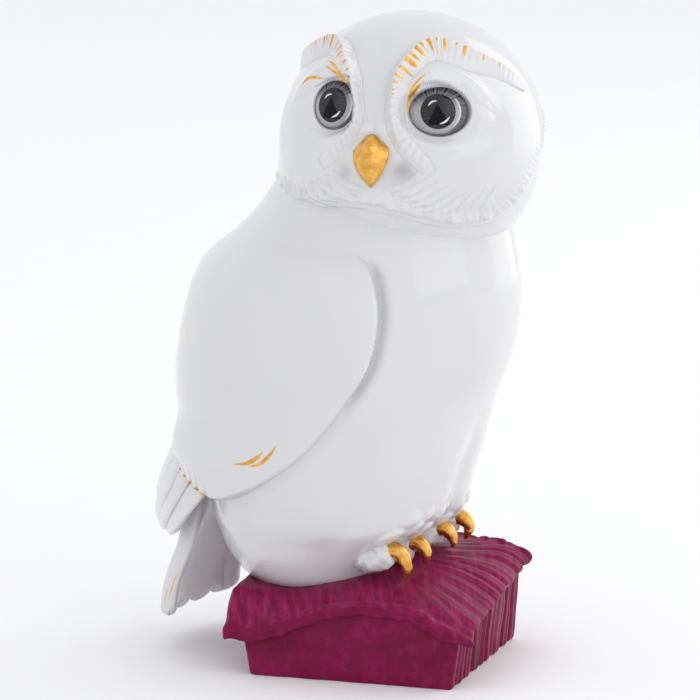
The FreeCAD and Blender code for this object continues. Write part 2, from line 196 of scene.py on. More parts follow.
def unit(vectors):
    """The same vectors with a length of one."""
    return vectors / (np.linalg.norm(vectors, axis=-1, keepdims=True) + 1e-12)


def run_along(points):
    """The distance travelled along a line of points."""
    steps = np.linalg.norm(np.diff(points, axis=0), axis=1)
    return np.concatenate([[0], np.cumsum(steps)])


def circle(count):
    """count angles, evenly spaced round a full turn."""
    return np.linspace(0, 2 * math.pi, count, endpoint=False)


def resample(at, run, columns):
    """Each column of values, known at run, read off at other places along it."""
    return np.stack([np.interp(at, run, column) for column in columns.T], axis=1)


def smooth_path(points, count, closed=False):
    """count points, evenly spaced along a smooth curve through points."""
    p = np.array(points, float)
    if closed:
        p = np.vstack([p[-3:], p, p[:4]])
    at = run_along(p)
    slopes = np.gradient(p, at, axis=0)
    fine = np.linspace(at[3], at[-4], 3000) if closed else np.linspace(at[0], at[-1], 2000)
    i = np.clip(np.searchsorted(at, fine, side="right") - 1, 0, len(at) - 2)
    step = (at[i + 1] - at[i])[:, None]
    f = ((fine - at[i]) / (at[i + 1] - at[i]))[:, None]
    curve = p[i] * (1 + 2 * f) * (1 - f) ** 2 + slopes[i] * step * f * (1 - f) ** 2
    curve += p[i + 1] * f * f * (3 - 2 * f) + slopes[i + 1] * step * f * f * (f - 1)
    run = run_along(curve)
    return resample(np.linspace(0, run[-1], count, endpoint=not closed), run, curve)


def follow(path, x, y):
    """How far along a flat path each point lies, and how far it is to the path's left."""
    p = path[:, :2]
    run = run_along(p)
    ways = unit(np.gradient(p, axis=0))
    shape = np.shape(x)
    points = np.stack([np.ravel(x), np.ravel(y)], axis=1)
    distance = np.empty(len(points))
    left = np.empty(len(points))
    for start in range(0, len(points), CHUNK):
        part = points[start:start + CHUNK]
        squares = ((part[:, None, :] - p[None]) ** 2).sum(axis=2)
        i = squares.argmin(axis=1)
        off = part - p[i]
        way = ways[i]
        side = way[:, 0] * off[:, 1] - way[:, 1] * off[:, 0]
        distance[start:start + CHUNK] = run[i] + (off * way).sum(axis=1)
        left[start:start + CHUNK] = np.sqrt(squares[np.arange(len(part)), i]) * np.sign(side)
    return distance.reshape(shape), left.reshape(shape)


def ripple(points, wavelength, seed, waves=9):
    """Soft random waves through space, between about -1 and 1."""
    rng = np.random.default_rng(seed)
    ways = unit(rng.normal(size=(waves, 3)))
    phases = rng.uniform(0, 6.28, waves)
    scales = rng.uniform(0.8, 1.3, waves)
    total = 0.0
    for way, phase, scale in zip(ways, phases, scales):
        total = total + np.sin(points @ way * (2 * math.pi * scale / wavelength) + phase)
    return total / math.sqrt(waves)


def strokes(lines, x, y):
    """Signed depth inside tapering brush strokes, each a list of (x, y, half width)."""
    depth = np.full(np.shape(x), -1.0)
    for line in lines:
        path = smooth_path(line, 40)
        reach = 1.0 + path[:, 2].max()
        low, high = path[:, :2].min(axis=0) - reach, path[:, :2].max(axis=0) + reach
        near = (x > low[0]) & (x < high[0]) & (y > low[1]) & (y < high[1])
        if near.any():
            far = np.hypot(x[near][:, None] - path[:, 0], y[near][:, None] - path[:, 1])
            depth[near] = np.maximum(depth[near], (path[:, 2] - far).max(axis=1))
    return depth


# ---- meshes ----
def grid_faces(rows, cols, wrap):
    """Quads of a grid of points, rows by columns. wrap joins the last column to the first."""
    r = np.arange(rows - 1)[:, None] * cols
    c = np.arange(cols if wrap else cols - 1)[None, :]
    n = (c + 1) % cols
    return np.stack([r + c, r + n, r + cols + n, r + cols + c], axis=-1).reshape(-1, 4)


def grid_normals(points, wrap=True):
    """Unit normals of a grid of points."""
    down = np.gradient(points, axis=0)
    if wrap:
        over = np.roll(points, -1, axis=1) - np.roll(points, 1, axis=1)
    else:
        over = np.gradient(points, axis=1)
    return unit(np.cross(over, down))


def roughen(points, height, wavelength, seed):
    """A closed grid of points with soft lumps of that height over it."""
    return points + grid_normals(points) * (height * ripple(points, wavelength, seed))[..., None]


class Skin:
    """Points, faces and paint layers of one piece while it is being made."""

    def __init__(self, points=None, layers=None, close=True):
        self.points = []
        self.faces = []
        self.layers = {}
        if points is not None:
            self.add_grid(points, layers, close)

    def add(self, points, faces, layers=None):
        """More points, and faces that count from the first of them."""
        start = sum(len(part) for part in self.points)
        self.points.append(np.reshape(points, (-1, 3)))
        self.faces.extend((np.asarray(face) + start).tolist() for face in faces)
        for name, values in (layers or {}).items():
            self.layers.setdefault(name, []).append(np.ravel(values))

    def add_grid(self, points, layers=None, close=True):
        """A grid of points whose rows are rings. close fills the first and the last ring."""
        rows, cols = points.shape[:2]
        faces = list(grid_faces(rows, cols, True))
        if close:
            faces.append(np.arange(cols)[::-1])
            faces.append(np.arange(cols) + (rows - 1) * cols)
        self.add(points, faces, layers)

    def cap(self, row, cols, flip):
        """Fills a ring of a grid whose second half runs back under its first half."""
        start = row * cols
        half = cols // 2
        for i in range(half):
            near, after = start + i, start + i + 1
            back, before = start + (cols - i) % cols, start + cols - i - 1
            if i == 0:
                face = [near, after, before]
            elif i == half - 1:
                face = [near, after, back]
            else:
                face = [near, after, before, back]
            self.faces.append(face[::-1] if flip else face)


def make_piece(name, skin, material):
    """Turns a skin into a mesh object that stands for the CAD node of the same name."""
    points = np.vstack(skin.points)
    mesh = bpy.data.meshes.new(name)
    mesh.from_pydata((points * MM).tolist(), [], skin.faces)
    mesh.update()
    centres = np.empty(len(mesh.polygons) * 3)
    normals = np.empty(len(mesh.polygons) * 3)
    mesh.polygons.foreach_get("center", centres)
    mesh.polygons.foreach_get("normal", normals)
    middle = points.mean(axis=0) * MM
    if ((centres.reshape(-1, 3) - middle) * normals.reshape(-1, 3)).sum() < 0:
        mesh.flip_normals()
    for layer, parts in skin.layers.items():
        attribute = mesh.attributes.new(layer, "FLOAT", "POINT")
        attribute.data.foreach_set("value", np.concatenate(parts).astype(np.float32))
    mesh.shade_smooth()
    mesh.materials.append(material)
    piece = bpy.data.objects.new(name, mesh)
    bpy.context.scene.collection.objects.link(piece)
    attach(piece, "root")
    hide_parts(name)


def owl_to_row(points):
    """Points of the owl's frame, in the row frame."""
    c, s = math.cos(OWL_TURN), math.sin(OWL_TURN)
    turn = np.array([[c, -s, 0], [s, c, 0], [0, 0, 1]])
    return points @ turn.T + OWL_AT


def on_side(points, side):
    """Points of the owl's right side (-1), mirrored for its left side (1)."""
    return points * np.array([-side, 1.0, 1.0])


def head_point(along, up, radius):
    """Row-frame points over the head."""
    far = np.hypot(along, up)
    angle = far / HEAD_RADIUS
    share = np.sin(angle) / np.maximum(far, 1e-9)
    spot = np.stack([-np.cos(angle), -share * along, share * up], axis=-1)
    return HEAD_CENTRE + spot * np.asarray(radius)[..., None]


# ---- materials ----
class Nodes:
    """Short names for making a material's nodes."""

    def __init__(self, name):
        self.material = bpy.data.materials.new(name)
        self.material.use_nodes = True
        self.tree = self.material.node_tree
        self.shader = self.tree.nodes["Principled BSDF"]

    def make(self, kind, inputs=None, **settings):
        node = self.tree.nodes.new(kind)
        for key, value in settings.items():
            setattr(node, key, value)
        for key, value in (inputs or {}).items():
            self.put(node, key, value)
        return node

    def put(self, node, key, value):
        socket = node.inputs[key]
        if isinstance(value, bpy.types.NodeSocket):
            self.tree.links.new(value, socket)
        else:
            socket.default_value = value

    def noise(self, scale, detail=3.0, roughness=0.5, vector=None):
        inputs = {"Scale": scale, "Detail": detail, "Roughness": roughness}
        if vector is not None:
            inputs["Vector"] = vector
        else:
            inputs["Vector"] = self.make("ShaderNodeTexCoord").outputs["Object"]
        return self.make("ShaderNodeTexNoise", inputs).outputs["Fac"]

    def layer(self, name):
        return self.make("ShaderNodeAttribute", attribute_name=name).outputs["Fac"]

    def fit(self, value, low, high, to_low=0.0, to_high=1.0):
        inputs = {"Value": value, "From Min": low, "From Max": high, "To Min": to_low, "To Max": to_high}
        return self.make("ShaderNodeMapRange", inputs).outputs["Result"]

    def mix(self, share, a, b, kind="RGBA", first=6, result=2):
        """Blends two colours. The numbers are where the mix node keeps sockets of that kind."""
        node = self.make("ShaderNodeMix", data_type=kind)
        self.put(node, 0, share)
        self.put(node, first, a)
        self.put(node, first + 1, b)
        return node.outputs[result]

    def mix_value(self, share, a, b):
        """Blends two plain values."""
        return self.mix(share, a, b, "FLOAT", 2, 0)

    def set(self, **values):
        """Sets or links the shader's own sockets, named with _ for each space."""
        for key, value in values.items():
            self.put(self.shader, key.replace("_", " "), value)

    def bump(self, height, distance, strength=1.0):
        inputs = {"Height": height, "Distance": distance, "Strength": strength}
        return self.make("ShaderNodeBump", inputs).outputs["Normal"]


WHITE = (0.685, 0.684, 0.695, 1.0)
WHITE_LIGHT = (0.715, 0.714, 0.72, 1.0)
SMOKE = (0.20, 0.19, 0.21, 1.0)
GOLD = (0.93, 0.56, 0.15, 1.0)
GOLD_DEEP = (0.66, 0.32, 0.06, 1.0)
PLUM_DEEP = (0.135, 0.0005, 0.026, 1.0)
PLUM = (0.215, 0.001, 0.052, 1.0)
# lighter plum of the streaks: a painted sheen on the roof's upward faces
PLUM_STREAK_SHEEN = (0.30, 0.014, 0.088, 1.0)
PLUM_PALE = (0.27, 0.008, 0.080, 1.0)
EYE_WHITE = (0.80, 0.79, 0.82, 1.0)
EYE_BLACK = (0.002, 0.002, 0.003, 1.0)
BISQUE_DARK = (0.66, 0.62, 0.56, 1.0)
BISQUE_LIGHT = (0.78, 0.75, 0.70, 1.0)
FLOOR_DARK = (0.955, 0.955, 0.955, 1.0)
FLOOR_LIGHT = (0.97, 0.97, 0.97, 1.0)
STROKE_TURN = math.radians(-22.0)  # the brush strokes on the roof run at this angle to its ridge
STROKE_STRETCH = (0.08, 1.0, 0.3)  # they are drawn out along that way


def gold_colour(n):
    """Brushed gold: brighter and deeper patches."""
    patches = n.noise(420.0, 4.0, 0.6)
    return n.mix(n.fit(patches, 0.35, 0.7), GOLD_DEEP, GOLD)


def white_glaze():
    """White porcelain under a clear glaze, with gold where the gold layer is above zero."""
    n = Nodes("white_glaze")
    clouds = n.noise(28.0, 2.0)
    white = n.mix(n.fit(clouds, 0.3, 0.7), WHITE, WHITE_LIGHT)
    painted = n.mix(n.fit(n.layer("shade"), 0.0, 1.0), white, SMOKE)
    gold = n.fit(n.layer("gold"), 0.0, 0.06)
    n.set(Base_Color=n.mix(gold, painted, gold_colour(n)))
    n.set(Metallic=n.mix_value(gold, 0.0, 1.0))
    n.set(Roughness=n.mix_value(gold, 0.16, 0.30))
    n.set(Coat_Weight=n.mix_value(gold, 0.6, 0.0))
    n.set(Coat_Roughness=0.05)
    n.set(Normal=n.bump(n.noise(160.0, 2.0), 0.00005))
    return n.material


def gilding():
    """Burnished gold over glaze, with fine brush marks."""
    n = Nodes("gilding")
    n.set(Base_Color=gold_colour(n))
    n.set(Metallic=1.0)
    grain = n.noise(1500.0, 3.0, 0.6)
    n.set(Roughness=n.fit(grain, 0.3, 0.7, 0.22, 0.40))
    n.set(Normal=n.bump(grain, 0.00004))
    return n.material


def plum_glaze():
    """Plum colour under a clear gloss glaze, with brush streaks whose lighter colour is a painted sheen on
    the faces that look upwards.
    """
    n = Nodes("plum_glaze")
    where = n.make("ShaderNodeTexCoord").outputs["Object"]
    mottle = n.noise(230.0, 5.0, 0.65, where)
    wide = n.noise(60.0, 3.0, 0.5, where)
    base = n.mix(n.fit(wide, 0.3, 0.7), PLUM_DEEP, PLUM)
    turned = n.make("ShaderNodeMapping", {"Vector": where, "Rotation": (0.0, 0.0, STROKE_TURN)})
    drawn = {"Vector": turned.outputs["Vector"], "Scale": STROKE_STRETCH}
    brushing = n.noise(560.0, 3.0, 0.6, n.make("ShaderNodeMapping", drawn).outputs["Vector"])
    streaked_sheen = n.mix(n.fit(brushing, 0.44, 0.66), base, PLUM_STREAK_SHEEN)
    # the lighter streaks show only where the surface faces up: a painted sheen from the light above
    normal = n.make("ShaderNodeNewGeometry").outputs["Normal"]
    upward = n.make("ShaderNodeSeparateXYZ", {"Vector": normal}).outputs["Z"]
    sheen_on_top = n.mix(n.fit(upward, 0.15, 0.5), base, streaked_sheen)
    n.set(Base_Color=n.mix(n.fit(mottle, 0.5, 0.8), sheen_on_top, PLUM_PALE))
    n.set(Roughness=0.42, Specular_IOR_Level=0.08, Coat_Weight=0.2, Coat_Roughness=0.06)
    n.set(Normal=n.bump(mottle, 0.00010))
    return n.material


def eye_paint():
    """Grey and black eye painting, mixed by the ink layer, under a clear glaze."""
    n = Nodes("eye_paint")
    n.set(Base_Color=n.mix(n.layer("ink"), EYE_WHITE, EYE_BLACK))
    n.set(Roughness=0.3, Specular_IOR_Level=0.15)
    return n.material


def bisque():
    """Unglazed porcelain."""
    n = Nodes("bisque")
    grain = n.noise(900.0, 4.0, 0.6)
    n.set(Base_Color=n.mix(grain, BISQUE_DARK, BISQUE_LIGHT))
    n.set(Roughness=0.75)
    n.set(Normal=n.bump(grain, 0.00005))
    return n.material


# ---- torso ----
TORSO_FRONT = table(TORSO, 1)
TORSO_BACK = table(TORSO, 2)
TORSO_HALF = table(TORSO, 3)
WING_PATH = smooth_path([(math.radians(d) * GIRTH, z) for d, z in WING_EDGE], 500)


def torso_surface(turn, height, proud):
    """Owl-frame points round the torso. turn is from the breast towards the owl's right."""
    front, back, half = TORSO_FRONT(height), TORSO_BACK(height), TORSO_HALF(height)
    deep = (back - front) / 2
    x, y = -np.sin(turn), -np.cos(turn)
    out = unit(np.stack([x * deep, y * half], axis=-1)) * np.expand_dims(proud, -1)
    return np.stack([x * half + out[..., 0], (front + back) / 2 + y * deep + out[..., 1], height], axis=-1)


# Tufts of feathers on the belly above each claw: aside from the claw, height, radius
TUFTS = [(-1.0, 43.0, 3.6), (4.5, 45.5, 3.4), (1.5, 48.5, 3.0), (7.0, 49.5, 2.6)]
TUFT_PROUD = 0.34  # share of its radius that a tuft stands out


def tufts(turn, height):
    """Soft lumps of feathering that climb the belly above the claws."""
    half = TORSO_HALF(height)
    total = np.zeros(np.shape(turn))
    for _, across, _, _ in TALONS:
        for aside, high, size in TUFTS:
            far = np.hypot(np.sin(turn) * half + across + aside, height - high)
            bump = dome(far / size) + 0.5 * hill(far, size)
            total = np.maximum(total, TUFT_PROUD * size * bump * (np.cos(turn) > 0))
    return total


def torso_relief(turn, height):
    """How far the torso stands out of its plain form."""
    side = np.abs(turn)
    run, left = follow(WING_PATH, side * GIRTH, height)
    shoulder = ramp(135, 127, height) * ramp(84, 94, height)
    crease = -2.8 * hill(left + 0.8, 1.7) * shoulder
    under_wing = -0.5 * hill(left + 1.0, 2.0) * ramp(94, 84, height) * (run < 100)
    degrees = np.degrees(turn)
    thigh = 1.6 * hill(side - math.radians(30), 0.42) * ramp(100, 60, height) * ramp(38, 50, height)
    cleft = -1.6 * hill(degrees, 7.0) * ramp(86, 60, height) * ramp(36, 46, height)
    flank = -0.9 * hill(degrees - 62, 9.0) * ramp(92, 70, height) * ramp(26, 44, height)
    ankle = 3.2 * hill(side - math.radians(40), 0.36) * hill(height - 42, 7.0)
    return crease + under_wing + thigh + cleft + flank + ankle + tufts(turn, height)


def torso(material):
    """The body, in rings from the plinth up into the head, finer over the feathered foot."""
    foot_top = 50
    low = np.linspace(TORSO[0][0], foot_top, 70)
    high = np.linspace(foot_top, TORSO[-1][0], 150)[1:]
    turn, height = np.meshgrid(circle(360) - math.pi, np.concatenate([low, high]))
    points = torso_surface(turn, height, torso_relief(turn, height))
    points = roughen(points, 0.18, 26.0, 3)
    make_piece("torso", Skin(owl_to_row(points)), material)


# ---- wings ----
# Gold strokes on the wing: distance round, height, half width
WING_MARKS = [
    [(89.5, 67.2, 0.15), (85.5, 67.8, 0.55), (81.0, 70.0, 0.65), (78.0, 72.6, 0.15)],
    [(85.0, 66.9, 0.15), (81.0, 67.8, 0.5), (76.5, 71.0, 0.6), (73.6, 75.0, 0.15)],
]


def wing_relief(turn, height):
    """The wing's height over the torso, and its gold."""
    run, left = follow(WING_PATH, turn * GIRTH, height)
    first, last = COVERTS
    in_coverts = ramp(first - 3, first + 2, run) * ramp(last + 3, last, run)
    lobe = np.abs(np.sin(math.pi * (run - first) / SCALLOP))
    inside = left - SCALLOP_DEPTH * (1 - lobe ** 0.8) * in_coverts

    # a rounded lip all round, which fades into the shoulder and stands off over the flight feathers
    lip = WING_LIP + 0.3 * in_coverts
    roll = dome(1 - np.clip(inside / lip, 0, 1))
    proud = WING_PROUD * (1 - 0.30 * ramp(95, 72, height))
    flap = WING_FLAP * ramp(math.radians(98), math.radians(127), turn) * ramp(80, 65, height)
    blend = ramp(139, 125, height)
    relief = (proud + flap) * roll * blend - 0.5 * (1 - blend)
    groove = (1 - lobe) ** 2 * in_coverts * ramp(6.5, 1.0, inside) * ramp(-0.2, 0.8, inside)
    relief = relief - 1.1 * groove
    relief = np.where(inside < 0, np.maximum(-WING_SUNK, inside * 5.0), relief)

    # gold crescents on the scallops
    place = (run - first) / SCALLOP
    middle = np.abs(place - np.floor(place) - 0.52)
    tips = np.minimum(0.65 - np.abs(inside - 1.4), (0.34 - middle) * SCALLOP)
    tips = np.where((run > first + 1) & (run < last - 2), tips, -1.0)
    gold = np.maximum(tips, strokes(WING_MARKS, turn * GIRTH, height))
    return relief, np.clip(gold, -1, 1)


def wing(name, side, material):
    """A folded wing: a skin over the torso, cut off where its rim has sunk into it."""
    turn, height = np.meshgrid(np.radians(np.linspace(50, 177, 330)), np.linspace(47, 144, 270))
    relief, gold = wing_relief(turn, height)
    points = on_side(torso_surface(turn, height, relief), side)
    faces = grid_faces(*relief.shape, False)
    kept = relief.ravel()[faces].max(axis=1) > -WING_SUNK + 0.1
    skin = Skin()
    skin.add(owl_to_row(points), faces[kept], {"gold": gold})
    make_piece(name, skin, material)


# ---- feathers ----
def blade(base, tip, width, thick, face, bow):
    """A closed leaf-shaped feather from base to tip. face is the way its flat side looks."""
    way = unit(tip - base)
    face = unit(face - way * (face @ way))
    over = np.cross(way, face)
    share = np.linspace(0, 1, 56)[:, None]
    round_tip = np.sqrt(np.clip(1 - ramp(0.62, 1.0, share) ** 1.6, 0, 1))
    half = width / 2 * (0.72 + 0.28 * np.sin(math.pi * np.minimum(share * 1.3, 1))) * round_tip + 0.02
    around = circle(36)[None, :]
    ridge = 1 - 0.45 * np.abs(np.cos(around)) ** 0.8
    flat = half * np.cos(around)
    deep = thick / 2 * np.sqrt(round_tip) * np.sin(around) * ridge
    middle = base + (tip - base) * share + face * (bow * np.sin(math.pi * share))
    return middle[:, None, :] + flat[..., None] * over + deep[..., None] * face


# Flight feathers: turn and height where each leaves the wing, its tip in the owl's frame, width
FLIGHTS = [
    (167.0, 71.0, (-10.0, 62.8, 50.0), 15.0),
    (159.0, 69.0, (-15.5, 63.2, 44.5), 15.0),
    (150.0, 67.0, (-18.5, 62.2, 40.4), 15.0),
    (140.0, 64.5, (-20.2, 60.2, 38.0), 14.0),
    (128.0, 61.5, (-21.6, 57.2, 36.8), 13.0),
]
FLIGHT_THICK = 6.4
FLIGHT_BOW = 1.4
GILDED_FLIGHT = 3  # the one with a gold stroke near its tip
FLIGHT_MARK = [[(-5.0, 0.3, 0.15), (-3.0, 0.3, 0.5), (-1.0, 0.3, 0.3)]]


def flight_feathers(name, side, material):
    """Long feathers that hang from under the coverts, overlapping like a closed fan."""
    skin = Skin()
    for i, (turn, high, tip, width) in enumerate(FLIGHTS):
        base = torso_surface(np.array(math.radians(turn)), np.array(high), np.array(0.6))
        tip = np.array(tip)
        out = np.array([tip[0] + 4.0, tip[1] - 20.0, 8.0])
        points = blade(base, tip, width, FLIGHT_THICK, out, FLIGHT_BOW)
        gold = np.full(points.shape[:2], -1.0)
        if i == GILDED_FLIGHT:
            down = unit(tip - base)
            over = unit(np.cross(down, out))
            gold = strokes(FLIGHT_MARK, (points - tip) @ down, (points - tip) @ over)
        skin.add_grid(owl_to_row(on_side(points, side)), {"gold": gold})
    make_piece(name, skin, material)


# Tail: height, back, half width, radius of the rolled edges
TAIL = [
    (58.0, 49.5, 12.5, 3.0), (52.0, 52.0, 14.5, 3.0), (44.0, 55.0, 17.5, 3.1),
    (35.0, 58.5, 20.0, 3.1), (21.5, 62.6, 23.6, 3.1), (6.0, 64.4, 24.6, 3.0),
]
TAIL_FEATHERS = 5
TAIL_SHEET = 1.1  # half the thickness between the rolls
ROLL_AT = 0.88  # the roll's middle and half width, as shares of the half width
ROLL_HALF = 0.12
TAIL_CURL = 7.6
# Gold strokes on the rolled edge: place round it, height, half width
TAIL_MARKS = [
    [(-2.0, 15.0, 0.2), (-0.5, 20.0, 0.7), (1.5, 27.0, 0.2)],
    [(-7.5, 13.5, 0.15), (-6.5, 17.0, 0.5), (-5.5, 21.0, 0.15)],
]


def tail(material):
    """A hanging fan, curled forward into a thick roll at each edge, with scalloped ends."""
    back, half, thick = (table(TAIL[::-1], column) for column in (1, 2, 3))
    rows, cols = 160, 360
    top = TAIL[0][0]
    around = circle(cols)[None, :]
    across = np.cos(around)
    wide = np.abs(across)
    place = (across + 1) / 2 * TAIL_FEATHERS
    part = place - np.floor(place)
    lobe = np.abs(np.sin(math.pi * place))
    foot_level = 7.8 + 2.9 * across ** 2 + 2.0 * (1 - lobe ** 0.6)
    down = np.linspace(0, 1, rows)[:, None] ** 0.9
    height = top + (foot_level - top) * down

    roll = dome((wide - ROLL_AT) / ROLL_HALF)
    body = np.maximum(TAIL_SHEET * ramp(1.0, 0.9, wide), thick(height) * roll)
    body = body * np.sign(np.sin(around))
    shaft = 0.3 * hill(part - 0.5, 0.10) * ramp(54, 38, height)
    step = 0.6 * (part - 0.5) * ramp(40, 22, height)
    outside = (np.sin(around) > 0) * ramp(0.9, 0.8, wide)
    rounded_foot = np.maximum(dome(np.clip((down - 0.94) / 0.06, 0, 1)), ALMOST_SHUT)
    bend = -TAIL_CURL * across ** 2 * ramp(top, 30, height)
    y = back(height) + bend + rounded_foot * (body + outside * (shaft + step))
    points = np.stack([half(height) * across, y, height], axis=-1)
    gold = strokes(TAIL_MARKS, (np.degrees(around) - 180) * 0.55 + 0 * height, height)
    skin = Skin(owl_to_row(points), {"gold": gold}, close=False)
    skin.cap(0, cols, False)
    skin.cap(rows - 1, cols, True)
    make_piece("tail", skin, material)


# ---- feet ----
def soft_union(distances, blend):
    """Joins distance fields with rounded creases."""
    total = distances[0]
    for d in distances[1:]:
        h = np.clip(0.5 + 0.5 * (d - total) / blend, 0, 1)
        total = d * (1 - h) + total * h - blend * h * (1 - h)
    return total


def star_surface(field, centre, reach, rows, cols):
    """The outermost surface where field is zero, seen from centre, as a grid."""
    tilt = np.linspace(-math.pi / 2 + 0.01, math.pi / 2 - 0.01, rows)[:, None]
    turn = circle(cols)[None, :]
    ways = [np.cos(tilt) * np.cos(turn), np.cos(tilt) * np.sin(turn), np.sin(tilt) + 0 * turn]
    ways = np.stack(ways, axis=-1)
    low = np.zeros(ways.shape[:2])
    steps = np.linspace(0, reach, 60)
    for far in steps:
        low = np.where(field(centre + ways * far) <= 0, far, low)
    high = np.minimum(reach, low + steps[1])
    for _ in range(18):
        middle = (low + high) / 2
        inside = field(centre + ways * middle[..., None]) <= 0
        low = np.where(inside, middle, low)
        high = np.where(inside, high, middle)
    return centre + ways * low[..., None]


def ball(centre, size):
    """A distance field of an ellipsoid."""
    centre, size = np.array(centre, float), np.array(size, float)

    def value(points):
        q = (points - centre) / size
        far = np.linalg.norm(q, axis=-1)
        return (far - 1) * far / np.maximum(np.linalg.norm(q / size, axis=-1), 1e-6)

    return value


# A toe's lumps, from its claw's base: across, back, up, and their half sizes
TOE_LUMPS = [
    ((0.0, 5.0, -2.6), (5.0, 7.6, 4.9)),
    ((0.0, 0.6, -0.4), (3.3, 3.0, 3.4)),
    ((-1.0, 9.0, 3.0), (5.5, 6.0, 5.0)),
    ((0.0, 4.0, 3.6), (5.0, 5.4, 5.2)),
    ((-2.6, 8.5, 6.6), (4.2, 4.4, 3.8)),
]
HEEL = (9.0, 7.0, 6.5)


def foot(name, claws, material):
    """A feathered foot: a plump toe behind each claw, joined at the heel."""
    bases = [np.array([across, *base]) for _, across, base, _ in claws]
    lumps = [ball(base + place, size) for base in bases for place, size in TOE_LUMPS]
    middle = sum(bases) / 2
    lumps.append(ball(middle + (0.0, 9.0, -1.0), HEEL))

    def field(points):
        lumpy = 0.35 * ripple(points, 6.0, 11) + 0.2 * ripple(points, 3.0, 12)
        return soft_union([lump(points) for lump in lumps], 1.8) + lumpy

    points = star_surface(field, middle + (0.0, 8.5, -0.5), 26.0, 150, 240)
    make_piece(name, Skin(owl_to_row(points)), material)


def horn(path, radii, flat):
    """A round closed horn along a path that lies in a plane of constant X, flattened sideways."""
    rows, blunt = 120, 0.03
    middle = smooth_path(path, rows)
    shares = np.linspace(0, 1, rows)
    size = np.interp(shares, np.linspace(0, 1, len(radii)), radii)
    for into in (shares - (1 - blunt), blunt - shares):
        size = size * np.maximum(dome(np.clip(into, 0, 1) / (blunt + 0.0001)), ALMOST_SHUT)
    aside = np.array([1.0, 0, 0])
    lift = np.cross(unit(np.gradient(middle, axis=0)), aside)[:, None]
    turn = circle(64)[None, :, None]
    return middle[:, None] + (aside * np.cos(turn) * flat + lift * np.sin(turn)) * size[:, None, None]


TALON_RADII = [2.9, 3.05, 2.7, 2.25, 1.6, 0.5]


def talon(name, across, base, tip, material):
    """A hooked claw that grows out of its toe, thick at the root."""
    path = [
        (across, base[0] + 3.0, base[1] - 1.6),
        (across, base[0] + 0.2, base[1] - 0.5),
        (across, base[0] - 3.4, base[1] - 0.3),
        (across, base[0] - 6.0, base[1] - 2.8),
        (across, tip[0] - 1.1, (tip[1] + base[1]) / 2 - 2.0),
        (across, tip[0] - 0.3, tip[1]),
    ]
    points = roughen(horn(path, TALON_RADII, 0.92), 0.05, 2.4, 5)
    make_piece(name + "_talon", Skin(owl_to_row(points)), material)


# ---- head ----
BROW_PATH = smooth_path(BROW, 420)
BROW_LENGTH = run_along(BROW_PATH[:, :2])[-1]
BROW_LIFT = table(BROW_RISE)
RUFF_PATH = smooth_path(RUFF_EDGE, 600)
LID_PATH = smooth_path(LID, 160)
LID_EDGE_PATH = smooth_path(LID_EDGE, 200)


def lean(height):
    """How far the brows are pushed sideways at a height."""
    return BROW_LEAN * np.maximum(0, height - BROW_LEAN_FROM)


def from_brow(out, height, side):
    """Brow coordinates to along and up on the head."""
    along = side * out + lean(height)
    return along, height - FACE_DIP * along


def to_brow(along, up):
    """Along and up on the head to brow coordinates, of whichever side is nearer."""
    height = up + FACE_DIP * along
    return np.abs(along - lean(height)), height


def brow_place(out, height):
    """Share of the brow's length, and place across: -1 inner edge, 0 crest, 1 forehead."""
    run, left = follow(BROW_PATH, out, height)
    share = run / BROW_LENGTH
    at = np.linspace(0, 1, len(BROW_PATH))
    inner = np.interp(share, at, BROW_PATH[:, 2])
    outer = np.interp(share, at, BROW_PATH[:, 3])
    return share, np.where(left < 0, left / inner, left / outer)


def brow_profile(share, across):
    """The brow's height over the face: sloping down to the eyelid, steeper to the forehead."""
    rim = BROW_LIFT(share)
    inner = 0.06 + (rim - 0.06) * np.clip(1 + across, 0, 1) ** 0.9
    outer = rim * (1 - ramp(0, 1, across))
    return np.where(across < 0, inner, outer)


class EyePlace:
    """Where one eye sits: its middle, and its outward, upward and looking directions."""

    def __init__(self, side):
        self.side = side
        along, up, self.half_width, self.half_height = EYES[side]
        self.middle = head_point(np.array(along), np.array(up), np.array(EYE_DEEP)) - HEAD_CENTRE
        out, lift = (math.radians(a) for a in EYE_LOOK)
        level = math.cos(lift)
        self.look = np.array([-math.cos(out) * level, -side * math.sin(out) * level, math.sin(lift)])
        self.aside = unit(np.cross(self.look, [0, 0, 1.0]))
        self.aside *= -side * np.sign(self.aside[1])
        self.lift = np.cross(self.look, self.aside)
        self.lift *= np.sign(self.lift[2])

    def flat(self, along, up):
        """Head places seen on the eye's plane: out, up, and the plane's radius there."""
        ways = head_point(along, up, np.ones(np.shape(along))) - HEAD_CENTRE
        facing = np.maximum(ways @ self.look, 0.25)
        radius = (self.middle @ self.look) / facing
        spots = ways * radius[..., None] - self.middle
        return spots @ self.aside, spots @ self.lift, radius


EYE_PLACES = {side: EyePlace(side) for side in EYES}


def strand(start, end, sag, width):
    """A feather strand that bows down on its way from start to end."""
    middle = ((start[0] + end[0]) / 2 + sag[0], (start[1] + end[1]) / 2 - sag[1], width)
    return [(*start, 0.5), middle, (*end, 0.3)]


def beard_strands():
    """Feather strands that fan out beside and below the beak, on one side: along, up, half width."""
    strands = []
    for i in range(6):
        start, end = (3.6 + 2.6 * i, -9.2 - 1.75 * i), (13.5 + 3.0 * i, -4.6 - 1.5 * i)
        strands.append(strand(start, end, (0.6, 1.2), 1.35))
    for i in range(5):
        start, end = (17.5 + 4.0 * i, -16.5 - 0.5 * i), (22.5 + 4.2 * i, -12.5 + 0.4 * i)
        strands.append(strand(start, end, (0.3, 0.5), 1.0))
    return strands


